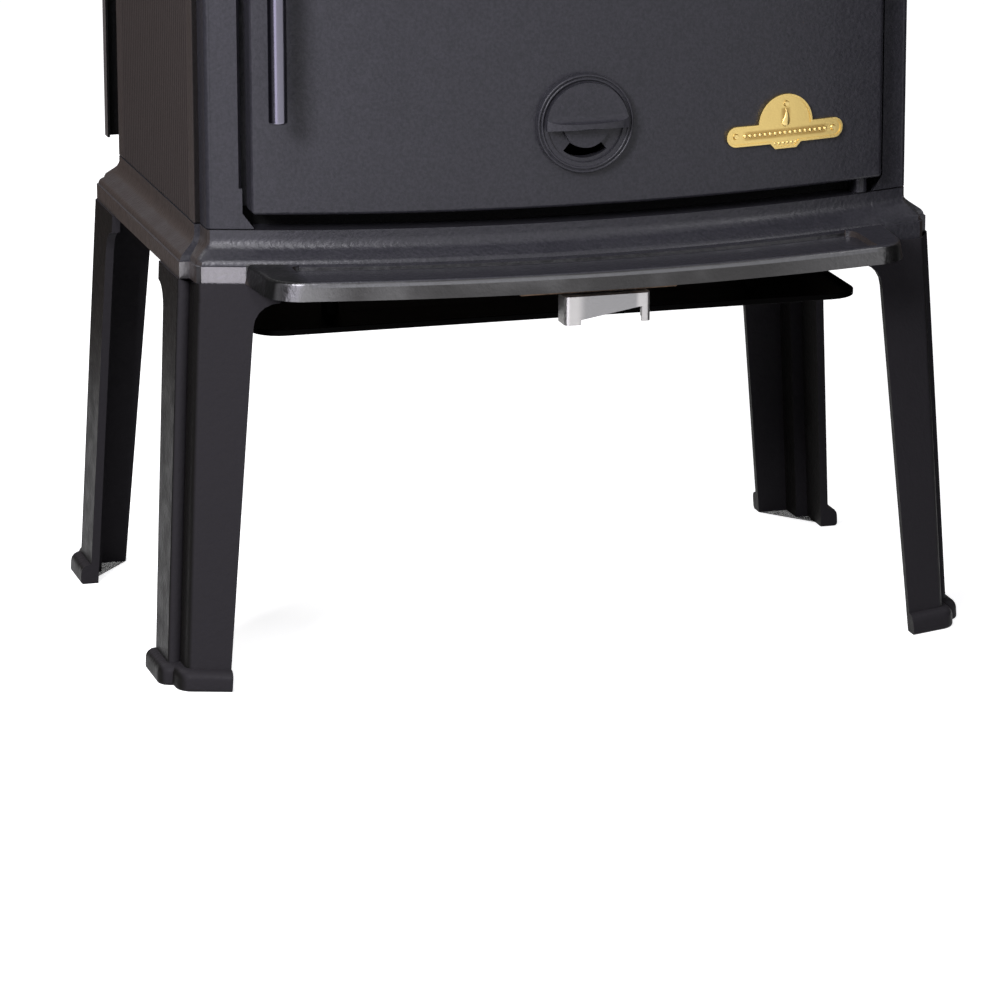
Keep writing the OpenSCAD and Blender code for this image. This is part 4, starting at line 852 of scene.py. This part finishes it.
feed(raised_brass, raised_shader, "Roughness", raised_gloss)
print("made", brass.name, raised_brass.name)

# %% [markdown]
# Firebrick, glass and rope
#
# Firebrick is pale, sandy and fully matt. The pane is glass ceramic with a faint brown tint: real
# transmission shows the bricks behind it. The rope round the door is braided glass fibre, and a
# strong fine bump stands in for its strands.

# %% Firebrick, glass and rope
GLASS_IOR = 1.5
BRICK_DARK = (0.52, 0.41, 0.28)
BRICK_LIGHT = (0.66, 0.54, 0.39)
BRICK_GRAIN = [(300, 0.002, 0.5)]
GLASS_TINT = (0.5, 0.46, 0.4)
ROPE_GREY = (0.42, 0.41, 0.38)
ROPE_STRANDS = [(700, 0.001, 0.8)]

brick, brick_shader = new_material("firebrick", BRICK_LIGHT, roughness=0.9)
add_relief(brick, brick_shader, BRICK_GRAIN)
sandy_tones = wander(brick, scale=90, low=BRICK_DARK, high=BRICK_LIGHT)
feed(brick, brick_shader, "Base Color", sandy_tones)
glass, glass_shader = new_material("stove_glass", GLASS_TINT, roughness=0.04)
glass_shader.inputs["Transmission Weight"].default_value = 1.0
glass_shader.inputs["IOR"].default_value = GLASS_IOR
rope, rope_shader = new_material("glass_rope", ROPE_GREY, roughness=0.95)
add_relief(rope, rope_shader, ROPE_STRANDS)
print("made", [made.name for made in (brick, glass, rope)])

# %% [markdown]
# Which finish goes where
#
# Most nodes are painted iron, so every node gets that first, and the list names only the others.

# %% Assign the finishes
FINISHES = {
    base_iron: ["base"],
    frame_iron: ["front_frame"],
    burnt: ["grate", "firebox_floor", "baffle", "ash_chamber"],
    leg_iron: ["leg_front_left", "leg_front_right", "leg_rear_left", "leg_rear_right"],
    side_iron: ["side_panel_left", "side_panel_right"],
    shield_iron: ["rear_heat_shield"],
    sheet: ["bottom_heat_shield", "ash_pan", "shield_spacers", "shield_screws"],
    steel: [
        "leg_bolts", "flue_screws", "rear_spacers", "rear_screws", "tie_rods", "tie_nuts",
        "glass_clips", "clip_screws", "hinge_pin_lower", "hinge_pin_upper", "latch_tongue",
        "latch_keeper", "valve_nut", "air_slide",
    ],
    handle_steel: ["door_handle"],
    nickel: ["air_lever"],
    brass: ["badge"],
    raised_brass: ["badge_rivets"],
    browned: ["air_slide_guide"],
    brick: ["firebrick_left", "firebrick_right", "firebrick_rear"],
    glass: ["door_glass"],
    rope: ["door_rope"],
}


def dress(node, material):
    """Gives a CAD node one material."""
    slots = nodes[node].data.materials
    slots.clear()
    slots.append(material)


for name in nodes:
    dress(name, iron)
for material, names in FINISHES.items():
    for name in names:
        dress(name, material)
print("dressed", len(nodes))

# %% [markdown]
# Ornament on the badge
#
# A cast brass badge carries raised work inside its rim. Here it is plain ornament: a row of
# pearls runs along the bar, a shorter row fills the foot, and a small flame stands in the arch.
# The badge is bowed and its place is set by the solid, so nothing is placed by guess: a ray shot
# at it from the front gives the exact spot and slope of its face.

# %% The badge's face
def on_badge(x, z):
    """Where a ray from the front meets the badge, as a matrix whose Z points out of its face."""
    start = Vector((x, badge_low.y - 1, z))
    place, normal = nodes["badge"].ray_cast(start, Vector((0, 1, 0)))[1:3]
    across = Vector((0, 0, 1)).cross(normal).normalized()
    up = normal.cross(across)
    turn = Matrix((across, up, normal)).transposed().to_4x4()
    return Matrix.Translation(place) @ turn


print("badge's face at", [round(part / MM, 1) for part in on_badge(badge_x, bar_z).translation], "mm")

# %% [markdown]
# Pearls and a flame
#
# A pearl is a flattened ball, sunk halfway into the face. The flame starts as a ball too: its
# upper half is drawn out, narrowed toward the tip and bent a little to one side. Sculpting it
# would give the same form with far more faces.

# %% Pearls and flame
BAR_PEARLS = 17
FOOT_PEARLS = 6
BAR_HALF = 36.5 * MM
FOOT_HALF = 9.5 * MM
FOOT_DROP = 8.3 * MM
PEARL_R = 1.75 * MM
FOOT_PEARL_R = 1.25 * MM
PEARL_RISE = 0.55
FLAME_H = 15 * MM
FLAME_R = 3.6 * MM
FLAME_LIFT = 8.5 * MM
FLAME_TAPER = 0.72
FLAME_BEND = 0.3
FLAME_RISE = 0.35


def add_pearl(shape, x, z, radius):
    """One flattened ball, sunk halfway into the face."""
    ball = bmesh.ops.create_uvsphere(shape, u_segments=16, v_segments=10, radius=radius)
    squash = Matrix.Diagonal((1, 1, PEARL_RISE, 1))
    bmesh.ops.transform(shape, matrix=on_badge(x, z) @ squash, verts=ball["verts"])


def add_row(shape, count, half, z, radius):
    """A row of pearls, even from one end to the other."""
    for i in range(count):
        add_pearl(shape, badge_x + half * (2 * i / (count - 1) - 1), z, radius)


def add_flame(shape, x, z):
    """A ball drawn out to a bent tip, standing on the face."""
    ball = bmesh.ops.create_uvsphere(shape, u_segments=24, v_segments=16, radius=FLAME_R)
    for vert in ball["verts"]:
        rise = max(vert.co.y, 0) / FLAME_R
        bend = FLAME_BEND * FLAME_R * math.sin(math.pi * rise)
        vert.co.x = vert.co.x * (1 - FLAME_TAPER * rise) + bend
        vert.co.y += rise * (FLAME_H - 2 * FLAME_R)
        vert.co.z *= FLAME_RISE
    bmesh.ops.transform(shape, matrix=on_badge(x, z), verts=ball["verts"])


print("shapes", [tool.__name__ for tool in (add_pearl, add_row, add_flame)])

# %% [markdown]
# One piece of ornament
#
# All of the raised work is one mesh, as on a real casting, so it rides on the door as one piece
# and needs one material. Separate pearls would be easier to move, but nobody moves them.

# %% Ornament in one mesh
relief = bmesh.new()
add_row(relief, BAR_PEARLS, BAR_HALF, bar_z, PEARL_R)
add_row(relief, FOOT_PEARLS, FOOT_HALF, bar_z - FOOT_DROP, FOOT_PEARL_R)
add_flame(relief, badge_x, bar_z + FLAME_LIFT)
bmesh.ops.recalc_face_normals(relief, faces=relief.faces)
relief_mesh = bpy.data.meshes.new("badge_relief")
relief.to_mesh(relief_mesh)
relief.free()
for face in relief_mesh.polygons:
    face.use_smooth = True
badge_relief = bpy.data.objects.new("badge_relief", relief_mesh)
scene.collection.objects.link(badge_relief)
relief_mesh.materials.append(raised_brass)
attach(badge_relief, "door_leaf")
print("badge_relief", len(relief_mesh.polygons), "faces")

# %% [markdown]
# Smooth faces and sharp corners
#
# A CAD node is a set of loose triangles, so a small node group welds them and shades them smooth,
# except across an edge that really is a corner. As a modifier it leaves the node's own mesh as it
# came. Smoothing everything would blur the flat walls of the castings.

# %% Weld and shade by angle
CORNER_ANGLE = math.radians(28)
WELD_GAP = 0.01 * MM
shading = bpy.data.node_groups.new("weld_and_shade", "GeometryNodeTree")
shading.interface.new_socket("Geometry", in_out="INPUT", socket_type="NodeSocketGeometry")
shading.interface.new_socket("Geometry", in_out="OUTPUT", socket_type="NodeSocketGeometry")
group_in = shading.nodes.new("NodeGroupInput")
group_out = shading.nodes.new("NodeGroupOutput")
weld = shading.nodes.new("GeometryNodeMergeByDistance")
weld.inputs["Distance"].default_value = WELD_GAP
smooth_faces = shading.nodes.new("GeometryNodeSetShadeSmooth")
sharp_corners = shading.nodes.new("GeometryNodeSetShadeSmooth")
sharp_corners.domain = "EDGE"
sharp_corners.inputs["Shade Smooth"].default_value = False
edge_angle = shading.nodes.new("GeometryNodeInputMeshEdgeAngle")
is_corner = shading.nodes.new("FunctionNodeCompare")
is_corner.inputs["B"].default_value = CORNER_ANGLE
shading.links.new(edge_angle.outputs["Unsigned Angle"], is_corner.inputs["A"])
shading.links.new(is_corner.outputs["Result"], sharp_corners.inputs["Selection"])
shading.links.new(group_in.outputs[0], weld.inputs["Geometry"])
shading.links.new(weld.outputs["Geometry"], smooth_faces.inputs["Geometry"])
shading.links.new(smooth_faces.outputs["Geometry"], sharp_corners.inputs["Geometry"])
shading.links.new(sharp_corners.outputs["Geometry"], group_out.inputs[0])
for name in nodes:
    nodes[name].modifiers.new("shading", "NODES").node_group = shading
print("shaded", len(nodes), "nodes")

# %% [markdown]
# Soft edges
#
# No edge of a casting is sharp: the mould rounds it and the paint rounds it again. A small bevel
# on the corners catches the light, and its width follows the size of the casting. Weighted normals
# then keep the large faces flat and let only the narrow bevels turn. Screws and other small pieces
# are left as they are, because nobody would see the difference.

# %% Round the castings' edges
EDGE_ROUND_MM = {
    "base": 1.2, "top_plate": 1.2, "rear_plate": 1.0, "door": 1.0,
    "side_panel_left": 0.6, "side_panel_right": 0.6,
    "leg_front_left": 1.3, "leg_front_right": 1.3, "leg_rear_left": 1.3, "leg_rear_right": 1.3,
    "hotplate": 0.8, "flue_collar": 1.0, "door_handle": 1.5, "air_lever": 0.8,
    "valve_housing": 0.5, "valve_flap": 0.6, "badge": 0.3, "bottom_heat_shield": 0.6,
}
BEVEL_SEGMENTS = 2


def round_edges(node, width):
    """Rounds a node's corners by width, in metres."""
    bevel = nodes[node].modifiers.new("edge", "BEVEL")
    bevel.width = width
    bevel.segments = BEVEL_SEGMENTS
    bevel.limit_method = "ANGLE"
    bevel.angle_limit = CORNER_ANGLE
    bevel.use_clamp_overlap = True


for name, width in EDGE_ROUND_MM.items():
    round_edges(name, width * MM)
for name in nodes:
    normals = nodes[name].modifiers.new("normals", "WEIGHTED_NORMAL")
    normals.keep_sharp = name not in EDGE_ROUND_MM
print("rounded", len(EDGE_ROUND_MM))
